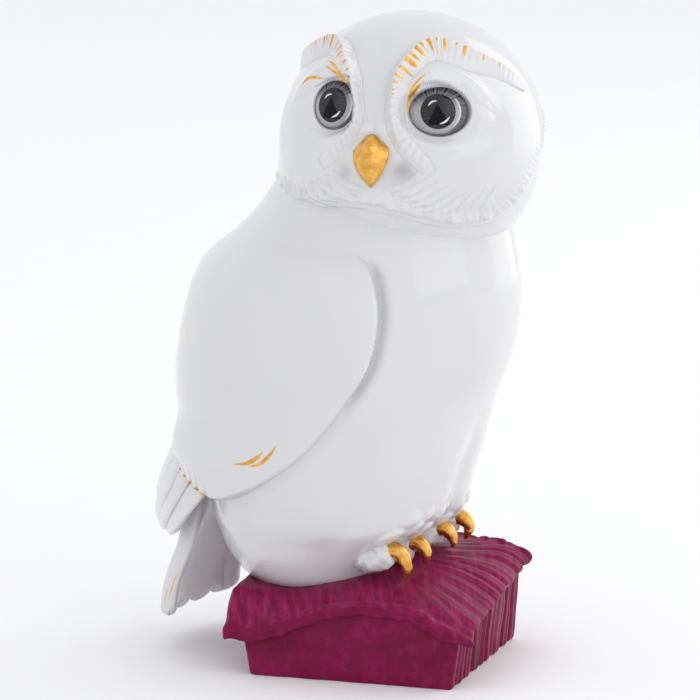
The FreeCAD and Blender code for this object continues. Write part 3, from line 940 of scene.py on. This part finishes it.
def eyelid_relief(base, along, up):
    """Works both eyes' lids and sockets into the relief. Also gives the gap to the nearer eye."""
    nearest = np.full(np.shape(along), FAR_FROM_EYE)
    for side, place in EYE_PLACES.items():
        out, lift, radius = place.flat(along, up)
        mine = (side * along > -3) & (np.hypot(out, lift) < 34)
        gap = (np.hypot(out / place.half_width, lift / place.half_height) - 1) * EYE_GIRTH
        gap = np.where(mine, gap, FAR_FROM_EYE)

        # the fold over the lid, the lid's edge, and the bag under the eye
        run, left = follow(LID_PATH, out, lift)
        fold = 1.5 * hill(left, 3.2) * ramp(-1, 7, run) * ramp(36, 22, run)
        run, left = follow(LID_EDGE_PATH, out, lift)
        fade = ramp(34, 20, run) * ramp(-1, 4, run)
        fold += (ramp(-0.3, 0.35, left) - 0.5) * 0.9 * hill(left, 2.4) * fade
        fold += 0.3 * hill(gap - 4.4, 1.4) * ramp(3, 9, out) * ramp(5, 0, lift)
        fold -= 0.4 * hill(gap - 6.0, 2.5) * ramp(-2, -6, lift)
        base = base + np.where(mine, fold, 0)

        # the socket's slope and the bed that the eye sits in
        margin = radius - HEAD_RADIUS + 0.6
        width = 4.6 - 2.4 * ramp(-2, 6, lift) + 5.0 * ramp(3, 9, out)
        wall = margin + (base - margin) * ramp(0.1, 1.0, gap / width) ** 0.8
        bed = wall - SOCKET_DEPTH * ramp(0.25, -0.35, gap)
        base = np.where(mine & (gap < width), bed, base)
        nearest = np.minimum(nearest, gap)
    return base, nearest


def face_relief(along, up):
    """How far the face stands out of a plain ball, without the brows."""
    side = np.abs(along)
    relief = np.zeros(np.shape(along))

    # nose: a channel between the brows, two bumps over the beak, hollows beside it
    out, _ = to_brow(along, up)
    relief -= 0.4 * hill(out, 3.0) * ramp(11, 18, up) * ramp(48, 36, up)
    relief += 2.0 * hill(np.hypot(side - 2.7, up - 8.6), 2.5)
    relief += 0.9 * hill(np.hypot(along, up + 1), 7.0)
    relief -= 1.3 * hill(np.hypot(side - 9.5, up + 3.2), 3.0)
    relief += 0.8 * hill(np.hypot(side - 30, up + 2), 12.0)

    relief, gap = eyelid_relief(relief, along, up)
    beard = strokes(beard_strands(), side, up)
    relief += 0.75 * np.sqrt(np.clip(beard, 0, 2) / 1.3)
    relief += ruff_relief(along, up)
    return relief * ramp(104, 84, np.hypot(along, up)), gap


def ruff_relief(along, up):
    """The ruff round the face: lumpy along its edge, combed, and falling to the neck below it."""
    run, left = follow(RUFF_PATH, along, up)
    side = np.abs(along)
    flare = (0.9 + 0.5 * ramp(-34, -46, along) * ramp(-62, -50, along)) * ramp(62, 48, along)
    relief = flare * hill(left - 1.0, 7.0) * (left > -3)
    lumps = 0.5 + 0.5 * ripple(np.stack([run, 0.6 * left, 0 * run], axis=-1), 4.4, 41)
    relief += lumps * hill(left - 1.2, 1.8) * ramp(62, 50, side)
    ribs = np.sin(2 * math.pi * (run + 0.25 * left) / RIB_PITCH_RUFF + 2.0 * np.sin(run / 11.0))
    combed = ramp(-50, -42, along) * ramp(8, 14, side) * ramp(0.5, 2.0, left) * ramp(8.0, 4.0, left)
    relief += 0.20 * ribs * combed
    return relief - 0.9 * ramp(1.2, -1.4, left) * ramp(100, 80, np.hypot(along, up))


def head_relief(along, up):
    """The face with the beds under the brows, and the gap to the nearer eye."""
    relief, gap = face_relief(along, up)
    share, across = brow_place(*to_brow(along, up))
    bed = ramp(1.0, 0.85, across) * ramp(-1.0, -0.9, across)
    bed *= ramp(-0.005, 0.02, share) * ramp(1.0, 0.98, share)
    return relief + bed * (brow_profile(share, across) - BROW_BED), gap


# Gold strokes over the eyes: along, up, half width
FACE_MARKS = [
    [
        (10.6, 15.0, 0.3), (9.8, 17.5, 0.55), (10.2, 19.9, 0.6),
        (11.0, 22.5, 0.5), (12.5, 24.8, 0.4), (16.2, 28.3, 0.12),
    ],
    [(11.0, 20.6, 0.45), (12.7, 23.0, 0.4), (14.4, 24.7, 0.1)],
    [(10.8, 17.4, 0.3), (11.6, 18.8, 0.3), (13.0, 21.1, 0.1)],
    [(-11.8, 23.2, 0.5), (-14.8, 26.7, 0.6), (-18.8, 29.6, 0.4), (-24.3, 32.2, 0.12)],
    [(-12.4, 23.8, 0.3), (-15.9, 26.1, 0.45), (-19.6, 27.9, 0.35), (-23.3, 29.2, 0.12)],
    [(-11.5, 22.8, 0.3), (-15.4, 24.2, 0.3), (-18.2, 25.1, 0.1)],
    [(-31.0, 22.0, 0.12), (-29.9, 23.4, 0.5), (-28.0, 24.6, 0.6), (-24.9, 24.9, 0.45), (-21.0, 24.6, 0.12)],
]
# Grey line along each upper lid: out and up from the eye's middle, half width
LID_LINE = [[(-5.0, 7.6, 0.15), (-1.5, 8.3, 0.25), (2.9, 7.5, 0.25), (8.4, 4.9, 0.12)]]


def face_shade(along, up, gap):
    """Grey painting of the face: round the eyes, along the lids, and smoke beside the beak."""
    shade = 0.85 * ramp(0.9, 0.3, gap)
    for side, place in EYE_PLACES.items():
        out, lift, _ = place.flat(along, up)
        line = 0.7 * ramp(-0.2, 0.15, strokes(LID_LINE, out, lift))
        shade = np.where(side * along > 3, np.maximum(shade, line), shade)
    left_smoke = 0.5 * hill(np.hypot((along - 8.6) / 1.3, up + 4.0), 2.8)
    right_smoke = 0.28 * hill(np.hypot(along + 9.5, up + 5.0), 2.2)
    return np.maximum(shade, np.maximum(left_smoke, right_smoke))


def head(material):
    """The head: rings round the middle of the face, fine over the face itself."""
    fine = np.linspace(0.5, FACE_EDGE, 166)
    coarse = np.linspace(FACE_EDGE, math.pi * HEAD_RADIUS - 0.5, 84)[1:]
    far, turn = np.meshgrid(np.concatenate([fine, coarse]), circle(396), indexing="ij")
    along, up = far * np.cos(turn), far * np.sin(turn)
    relief, gap = head_relief(along, up)
    relief -= 0.4 * ramp(46, FACE_EDGE, far) * ramp(100, 80, far)
    points = roughen(head_point(along, up, HEAD_RADIUS + relief), 0.10, 17.0, 8)
    layers = {"gold": strokes(FACE_MARKS, along, up), "shade": face_shade(along, up, gap)}
    make_piece("head", Skin(points, layers), material)


# Gold dabs on each brow's crest: rib it lies on, length, width. Big and small by turns.
LEFT_DABS = [
    (10.9, 0.7, 0.6), (11.4, 0.7, 0.6), (12.3, 1.5, 0.8), (13.2, 2.4, 1.1), (14.3, 4.2, 1.3),
    (15.6, 4.0, 2.0), (16.6, 3.0, 1.1), (17.7, 4.2, 1.4), (18.6, 1.5, 0.9), (19.8, 4.4, 1.5),
    (20.9, 1.3, 0.8), (22.0, 4.0, 1.3), (23.6, 0.9, 0.8), (24.8, 3.4, 1.4), (27.4, 2.2, 0.9),
    (29.9, 1.9, 0.7), (32.3, 1.0, 0.6),
]
RIGHT_DABS = [
    (11.2, 1.1, 0.4), (11.8, 1.1, 0.4), (12.5, 0.9, 0.8), (13.4, 1.4, 0.8), (14.4, 2.2, 1.0),
    (15.1, 1.4, 0.6), (15.9, 3.4, 1.2), (17.1, 3.4, 1.7), (18.3, 4.2, 1.3), (19.2, 2.4, 0.9),
    (20.3, 5.0, 1.9), (21.8, 2.4, 0.7), (22.5, 3.6, 0.8), (24.6, 2.2, 0.7), (26.0, 1.8, 0.6),
    (28.0, 2.0, 0.6),
]


def brow_gold(run, lateral, dabs):
    """Depth inside the teardrop dabs, whose fat ends lie on the crest. lateral is towards the eye."""
    gold = np.full(run.shape, -1.0)
    for rib, length, width in dabs:
        reach = np.clip(lateral / length, -0.2, 1)
        taper = width / 2 * np.sqrt(np.clip((1 - reach) * (0.55 + 0.75 * reach) * 1.9, 0, 1))
        aside = np.abs(run - rib * RIB_PITCH - 0.22 * lateral)
        inside = np.minimum(taper - aside, np.minimum(length - lateral, lateral + 0.25))
        gold = np.maximum(gold, inside)
    return np.clip(gold, -1, 1)


def brow(name, side, dabs, material):
    """A combed crest over one eye, closed underneath, with gold dabs along its rim."""
    shares = np.linspace(0, 1, 640)
    path = resample(shares, np.linspace(0, 1, len(BROW_PATH)), BROW_PATH)
    ways = unit(np.gradient(path[:, :2], axis=0))
    over = BROW_OVER * np.array([-1.0, 1.0])
    across = np.concatenate([np.linspace(over[0], 0, 44), np.linspace(0, over[1], 26)[1:]])
    share, place = np.meshgrid(shares, across, indexing="ij")
    run = share * BROW_LENGTH
    reach = np.where(place < 0, path[:, 2:3], path[:, 3:4])
    out = path[:, 0:1] - ways[:, 1:2] * reach * place
    height = path[:, 1:2] + ways[:, 0:1] * reach * place
    along, up = from_brow(out, height, side)
    base, _ = face_relief(along, up)

    rib = np.abs(np.cos(math.pi * (run - 0.9 * np.maximum(0, -place)) / RIB_PITCH))
    combed = (0.5 - 0.28 * ramp(0.5, 0.8, share)) * (rib ** 0.8 - 0.65)
    combed *= ramp(-1.0, -0.3, place) * ramp(1.0, 0.1, place) * ramp(0, 0.1, share)
    profile = brow_profile(share, place) + combed
    profile -= 1.3 * ramp(0.97, BROW_OVER, place) + 1.5 * ramp(-0.98, -BROW_OVER, place)
    ends = ramp(0.0, 0.02, share) * ramp(1.0, 0.97, share)
    profile = profile * ends - (1 - ends)
    points = head_point(along, up, HEAD_RADIUS + base + profile)
    gold = brow_gold(run, -place * reach + 0.1, dabs)
    make_piece(name, Skin(points, {"gold": gold}), material)


# Painted in an eye's black, and the light marks on it: right, up, half width
BLACK_ARC = [[(1.1, 4.5, 0.35), (2.8, 4.2, 0.5), (4.3, 2.9, 0.2)]]
LIGHT_ARCS = [
    [(-2.9, 1.9, 0.14), (-1.9, 2.9, 0.28), (-0.5, 3.2, 0.12)],
    [(0.6, -3.8, 0.12), (2.2, -3.1, 0.32), (3.4, -1.8, 0.14)],
]
PUPIL = 5.35
TRIANGLE_TOP = 2.6


def iris_ink(x, y, far, turn, oval):
    """A grey iris, streaked and darker above, with a black rim and a pale arc at one side that is a painted
    highlight.
    """
    streaks = 0.5 + 0.5 * np.sin(turn * 60 + 3 * np.sin(turn * 13) + far * 1.5)
    ring = np.hypot(x + 0.1, y * 1.1)
    ink = 0.43 + 0.08 * streaks + 0.10 * ramp(0.80, 0.95, oval)
    ink = ink + (0.30 + 0.12 * streaks) * ramp(0.5, 5.0, y)
    crescent = ramp(6.9, 7.3, ring) * ramp(0.1, 0.6, x / (far + 1e-6))
    ink = np.maximum(ink, crescent * (0.76 + 0.10 * streaks))
    # a thin pale arc on the right side of the iris: a painted highlight
    ink = ink * (1 - 0.9 * hill(ring - 6.85, 0.2) * ramp(4.5, 6.0, x))
    rim = np.maximum(hill(oval - 0.975, 0.045), ramp(0.985, 1.02, oval))
    return np.maximum(ink, 0.93 * rim)


def pupil_ink(x, y, far, turn):
    """A black pupil, lightened towards the upper right by a painted reflection, with a blacker rim, arc and
    upright triangle.
    """
    # the pupil is a little lighter towards the upper right: a painted reflection
    ink = 0.955 + 0.015 * np.sin(turn * 23 + far * 2) - 0.03 * ramp(0, 4, x) * ramp(-3, 0, y)
    ink = np.maximum(ink, 0.985 * hill(far - 5.15, 0.55))
    ink = np.maximum(ink, 0.99 * ramp(-0.3, 0.2, strokes(BLACK_ARC, x, y)))
    below = TRIANGLE_TOP - y
    slope = np.minimum(below * 0.50 + (x + 0.3), below * 0.62 - (x + 0.3))
    triangle = ramp(-0.15, 0.15, slope) * ramp(-4.6, -4.0, y) * (below > 0)
    return np.maximum(ink, 0.997 * triangle)


def eye_ink(x, y, half_width, half_height):
    """The painting of an eye: 0 is white, 1 is black. x is to the onlooker's right, y is up."""
    far = np.hypot(x, y)
    turn = np.arctan2(y, x)
    oval = np.hypot(x / half_width, y / half_height)
    in_pupil = ramp(PUPIL + 0.1, PUPIL - 0.1, far)
    ink = iris_ink(x, y, far, turn, oval) * (1 - in_pupil) + pupil_ink(x, y, far, turn) * in_pupil
    shine = ramp(-0.08, 0.08, strokes(LIGHT_ARCS, x, y))
    return np.clip(ink * (1 - 0.93 * shine), 0, 1)


def eye(name, side, gaze, material):
    """A shallow domed eye, painted. gaze moves the painted pupil, seen from in front."""
    place = EYE_PLACES[side]
    far, turn = np.meshgrid(np.linspace(0.004, 1.12, 150), circle(240), indexing="ij")
    x = far * np.cos(turn) * place.half_width
    y = far * np.sin(turn) * place.half_height
    depth = EYE_DOME - (EYE_BALL - np.sqrt(EYE_BALL ** 2 - x ** 2 - y ** 2))
    offsets = zip((x, y, depth), (place.aside, place.lift, place.look))
    points = HEAD_CENTRE + place.middle + sum(length[..., None] * way for length, way in offsets)
    ink = eye_ink(side * x - gaze, y, place.half_width, place.half_height)
    make_piece(name, Skin(points, {"ink": ink}), material)


# Beak: its middle line as forward and up from the head's centre; then share, half width, half depth
BEAK_SPINE = [(39.4, 3.6), (42.2, 3.4), (44.2, 0.6), (44.8, -3.4), (44.3, -6.6), (43.4, -8.8)]
BEAK = [
    (0.0, 2.4, 2.6), (0.1, 4.6, 3.8), (0.3, 5.8, 4.4), (0.5, 5.4, 3.9),
    (0.72, 3.7, 2.8), (0.9, 1.6, 1.4), (1.0, 0.2, 0.2),
]
BEAK_ASIDE = 0.2


def beak(material):
    """A hooked beak with a rounded keel down its middle."""
    rows, cols = 130, 96
    spine = smooth_path(BEAK_SPINE, rows)
    sections = np.array(BEAK)
    wide, deep = resample(np.linspace(0, 1, rows), sections[:, 0], sections[:, 1:]).T[..., None]
    ways = unit(np.gradient(spine, axis=0))
    outward = np.stack([-ways[:, 1], ways[:, 0]], axis=1)
    outward *= np.sign(outward[:, :1] + 1e-9)
    turn = circle(cols)[None, :]
    front = np.sin(turn)
    keel = np.where(front > 0, front * (0.34 + 0.66 * np.abs(front) ** 3.0), front * 0.8)
    forward = spine[:, 0:1] + outward[:, 0:1] * keel * deep
    height = spine[:, 1:2] + outward[:, 1:2] * keel * deep
    points = np.stack([-forward, BEAK_ASIDE - np.cos(turn) * wide, height], axis=-1)
    points = roughen(HEAD_CENTRE + points, 0.06, 3.5, 6)
    make_piece("beak", Skin(points), material)


# ---- plinth ----
def roof_outline(x):
    """Closed outline of the roof slab at x, as points along Y and Z."""
    share = (x + ROOF_LENGTH / 2) / ROOF_LENGTH
    crown = ROOF_CROWN * (1 - (2 * share - 1) ** 4)
    rise = RIDGE_RISE * share
    back = BACK_EAVE_RISE * (1 - (1 - share) ** 2)
    front = FRONT_EAVE_RISE * share
    droop = max(0.0, 1 - share * ROOF_LENGTH / GABLE_DROOP) ** 2
    return [
        (-34.0, 21.3 + front + crown * 0.3 - droop * 4.6),
        (-20.0, 25.7 + rise + crown * 0.8 - droop * 2.0),
        (RIDGE_Y, 26.5 + rise + crown - droop * 2.4),
        (9.0, 25.2 + rise + crown - droop * 3.8),
        (23.0, 23.2 + rise * 0.9 + crown * 0.9 - droop * 7.7),
        (34.0, 25.0 + back * 0.3 + crown * 0.3 - droop * 12.2),
        (40.0 - droop, 25.2 + back * 0.3 + crown * 0.3 - droop * 12.8),
        (41.5 - droop, 17.5 + back * 0.4 - droop * 6.3),
        (38.6 - droop, 11.6 + back * 0.4 - droop * 1.2),
        (31.0, 11.4 + back * 0.4 - droop * 1.6),
        (20.0, 16.3 + back * 0.3 - droop * 3.6),
        (7.0, 21.0 + rise * 0.3 - droop * 2.0),
        (RIDGE_Y, 22.3 + rise * 0.4 - droop * 1.6),
        (-18.0, 20.8 + rise * 0.4 - droop * 1.0),
        (-31.5, 17.3 + front * 0.5 - droop * 2.4),
        (-39.6 + 2.0 * share, 18.4 + front - droop * 3.7),
    ]


def roof_sides(x, count):
    """The slab's top and underside at x, each as count points from the front lip to the back one."""
    ring = smooth_path(roof_outline(x), 1600, closed=True)
    ring = np.roll(ring, -ring[:, 0].argmin(), axis=0)
    turn = ring[:, 0].argmax()
    sides = []
    for side in (ring[:turn + 1], np.vstack([ring[turn:], ring[:1]])[::-1]):
        run = run_along(side)
        denser_at_lips = run[-1] * (1 - np.cos(np.linspace(0, math.pi, count))) / 2
        sides.append(resample(denser_at_lips, run, side))
    return sides


def fan_spread(y):
    """How far the folds have spread at y: closest together under the owl's feet."""
    return 0.42 + 0.58 * ramp(2, 34, np.abs(y - RIDGE_Y))


def pleats(x, y):
    """Broad folds that spread from under the owl's feet to the long sides: 0 in creases, 1 on folds."""
    place = (x + FAN_X) / fan_spread(y) + 2.0 * np.sin(x / 9.0 + 0.6) + 1.3 * np.sin(x / 4.1)
    return np.abs(np.sin(math.pi * place / PLEAT_PITCH)) ** 0.6


def roof_grooves(points):
    """Combed relief of the roof's top."""
    x, y = points[..., 0], points[..., 1]
    comb = 0.93 * y - 0.37 * x + 1.6 * ripple(points, 24.0, 17)
    fine = ripple(np.stack([comb, 0.06 * x, 0 * y], axis=-1), 2.6, 25)
    ribs = np.sin(2 * math.pi * (x + FAN_X) / fan_spread(y) / 2.9 + 2 * np.sin(x / 5.0))
    folds = 1.35 * (pleats(x, y) - PLEAT_MEAN) + 0.10 * ribs
    strong = 0.35 + 0.65 * ramp(-30, -4, x)
    swell = 0.9 * ramp(17, 6, np.hypot((x - 3) / 1.7, y + 15))
    return folds * ramp(-10, -33, y) * strong + 0.11 * fine * (ramp(-4, 10, y) + 0.2) + swell


def roof_rings(count):
    """Rings round the slab from gable to gable, each count points over and as many back under."""
    half = ROOF_LENGTH / 2
    ends = half - LIP_ROUND * (1 - np.sin(np.linspace(0, math.pi / 2, 12)))
    rings = []
    for x in np.concatenate([-ends[::-1], np.linspace(-ends[0], ends[0], 196)[1:-1], ends]):
        top, under = roof_sides(x, count)
        under = under + (top - under) * 0.34 * ramp(half - 8, half - 2, abs(x))
        into_lip = np.clip((abs(x) - (half - LIP_ROUND)) / LIP_ROUND, 0, 1)
        full = max(dome(into_lip), ALMOST_SHUT / 2)
        middle = (top + under) / 2
        ring = np.vstack([middle + (top - middle) * full, (middle + (under - middle) * full)[-2:0:-1]])
        rings.append(np.column_stack([np.full(len(ring), x), ring]))
    return np.array(rings)


def roof(material):
    """An arched slab with lumpy rounded lips, folded in pleats over its front eave."""
    half = ROOF_LENGTH / 2
    count = 170
    points = roof_rings(count)
    rows, cols = points.shape[:2]
    normals = grid_normals(points)
    normals *= np.sign(normals[rows // 2, count // 2, 2])
    x, y = points[..., 0], points[..., 1]
    from_eave = np.minimum(np.arange(count), np.arange(count)[::-1])
    fade = np.zeros(cols)
    fade[:count] = ramp(0, 10, from_eave)
    upper = np.arange(cols) < count
    lip = ramp(half - 4.5, half - 1.0, np.abs(x))
    grooves = roof_grooves(points) * (0.25 + 0.75 * fade) * upper
    lumps = lip * (0.30 * ripple(points, 8.0, 21) + 0.16 * ripple(points, 3.4, 22))
    lumps += 0.9 * hill(np.abs(x) - (half - 1.3), 1.1)
    eave = 1.1 * (pleats(x, y) - PLEAT_MEAN) + 0.12 * ripple(points, 5.0, 23)
    relief = grooves + lumps * np.clip((half - np.abs(x)) / 0.4, 0, 1) + (1 - fade) * (1 - lip) * eave
    points = points + normals * relief[..., None]
    points[..., 0] = np.clip(points[..., 0], -half, half)
    skin = Skin(points, close=False)
    skin.cap(0, cols, True)
    skin.cap(rows - 1, cols, False)
    make_piece("plinth_roof", skin, material)


def wall_ring(count):
    """count points round the walls' foot, with rounded corners, and the way out at each."""
    half_x, half_y = PLINTH_LENGTH / 2 - WALL_CORNER, PLINTH_DEPTH / 2 - WALL_CORNER
    outline = []
    for across, back, start in ((1, 1, 0), (-1, 1, 90), (-1, -1, 180), (1, -1, 270)):
        for a in np.radians(np.arange(start, start + 91, 15)):
            corner = (across * half_x, back * half_y)
            outline.append((corner[0] + WALL_CORNER * math.cos(a), corner[1] + WALL_CORNER * math.sin(a)))
    outline = np.array(outline + outline[:1])
    run = run_along(outline)
    ring = resample(np.linspace(0, run[-1], count, endpoint=False), run, outline)
    ways = unit(np.roll(ring, -1, axis=0) - np.roll(ring, 1, axis=0))
    return ring, np.stack([ways[:, 1], -ways[:, 0], 0 * ways[:, 0]], axis=1)


def wall_top(x, y):
    """The middle of the roof's slab over a point of the walls."""
    reach = ROOF_LENGTH / 2 - 1
    sides = roof_sides(max(-reach, min(reach, x)), 40)
    return sum(np.interp(y, side[:, 0], side[:, 1]) for side in sides) / 2


def walls(material):
    """Upright walls with pleats down the long sides, flaring out under the eaves."""
    ring, out = wall_ring(900)
    share = np.concatenate([np.linspace(0, 0.06, 10), np.linspace(0.06, 1, 70)[1:]])[:, None]
    x, y = ring.T[:, None, :]
    height = np.array([wall_top(*place) for place in ring]) * share
    half_y = PLINTH_DEPTH / 2
    sway = 0.5 * np.sin(height / 6.0 + x / 9.0)
    small = 0.12 * np.sin(2 * math.pi * (x + sway) / 3.1 + 1.5 * np.sin(x / 4.0))
    push = ramp(half_y - 3.5, half_y - 1.0, np.abs(y)) * (1.6 * (pleats(x + sway, y) - 1.0) + small)
    rounded_foot = dome(1 - np.clip(share / 0.05, 0, 1))
    push = push - 0.9 * (1 - rounded_foot)
    flare = 1 + WALL_FLARE * share
    points = np.stack([x + out[:, 0] * push, y * flare + out[:, 1] * push, height], axis=-1)
    points += out * (0.12 * ripple(points, 11.0, 31))[..., None]
    make_piece("plinth_walls", Skin(points), material)


# ---- stage, light and camera ----
FLOOR_HALF = 3.0  # metres, as are the lights' and the camera's places below
SKY = (0.97, 0.975, 1.0, 1.0)
SKY_STRENGTH = 0.95
OWL_MIDDLE = (0, 0, 0.1)
# Soft boxes: name, place, size, power
LIGHTS = [("key", (-0.8, -1.6, 1.1), (1.8, 1.6), 5.0), ("side", (1.2, -1.1, 0.7), (1.5, 1.8), 7.0)]
VIEW_AZIMUTH = -72.3
VIEW_ELEVATION = 9.7
VIEW_DISTANCE = 1.300
VIEW_AIM = (-0.0032, 0.0101, 0.0993)
VIEW_LENS = 211.73
VIEW_SENSOR = 36.0


def stage():
    """A pale floor that fades into a pale world."""
    mesh = bpy.data.meshes.new("floor")
    signs = ((-1, -1), (1, -1), (1, 1), (-1, 1))
    mesh.from_pydata([(x * FLOOR_HALF, y * FLOOR_HALF, 0) for x, y in signs], [], [(0, 1, 2, 3)])
    floor = bpy.data.objects.new("floor", mesh)
    bpy.context.scene.collection.objects.link(floor)
    n = Nodes("floor")
    n.set(Base_Color=n.mix(n.noise(40.0, 2.0), FLOOR_DARK, FLOOR_LIGHT))
    n.set(Roughness=0.7)
    mesh.materials.append(n.material)
    world = bpy.data.worlds.new("studio")
    world.use_nodes = True
    background = world.node_tree.nodes["Background"]
    background.inputs["Color"].default_value = SKY
    background.inputs["Strength"].default_value = SKY_STRENGTH
    bpy.context.scene.world = world
    bpy.context.scene.view_settings.view_transform = "Standard"


def look_from(thing, place, way):
    """Puts a light or a camera at place, looking along way."""
    thing.location = place
    thing.rotation_euler = way.to_track_quat("-Z", "Y").to_euler()
    bpy.context.scene.collection.objects.link(thing)


def soft_light(name, place, size, power):
    """A rectangular soft box that looks at the owl."""
    data = bpy.data.lights.new(name, "AREA")
    data.shape = "RECTANGLE"
    data.size, data.size_y = size
    data.energy = power
    look_from(bpy.data.objects.new(name, data), place, Vector(OWL_MIDDLE) - Vector(place))


def camera():
    """A long lens, low and from the owl's right."""
    azimuth, elevation = math.radians(VIEW_AZIMUTH), math.radians(VIEW_ELEVATION)
    level = math.cos(elevation)
    away = Vector((math.sin(azimuth) * level, -math.cos(azimuth) * level, math.sin(elevation)))
    data = bpy.data.cameras.new("camera")
    data.lens = VIEW_LENS
    data.sensor_width = VIEW_SENSOR
    viewer = bpy.data.objects.new("camera", data)
    look_from(viewer, Vector(VIEW_AIM) + away * VIEW_DISTANCE, -away)
    bpy.context.scene.camera = viewer


def main():
    """Makes every piece, then what stands round it."""
    white, gold, plum, paint = white_glaze(), gilding(), plum_glaze(), eye_paint()
    torso(white)
    wing("right_wing", -1, white)
    wing("left_wing", 1, white)
    flight_feathers("right_flight_feathers", -1, white)
    flight_feathers("left_flight_feathers", 1, white)
    tail(white)
    foot("right_foot", TALONS[:2], white)
    foot("left_foot", TALONS[2:], white)
    for name, across, base, tip in TALONS:
        talon(name, across, base, tip, gold)
    head(white)
    brow("right_brow", -1, RIGHT_DABS, white)
    brow("left_brow", 1, LEFT_DABS, white)
    eye("right_eye", -1, -0.3, paint)
    eye("left_eye", 1, -0.4, paint)
    beak(gold)
    roof(plum)
    walls(plum)
    floor_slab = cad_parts["plinth_floor"].data
    floor_slab.materials.clear()
    floor_slab.materials.append(bisque())
    stage()
    for name, place, size, power in LIGHTS:
        soft_light(name, place, size, power)
    camera()


main()
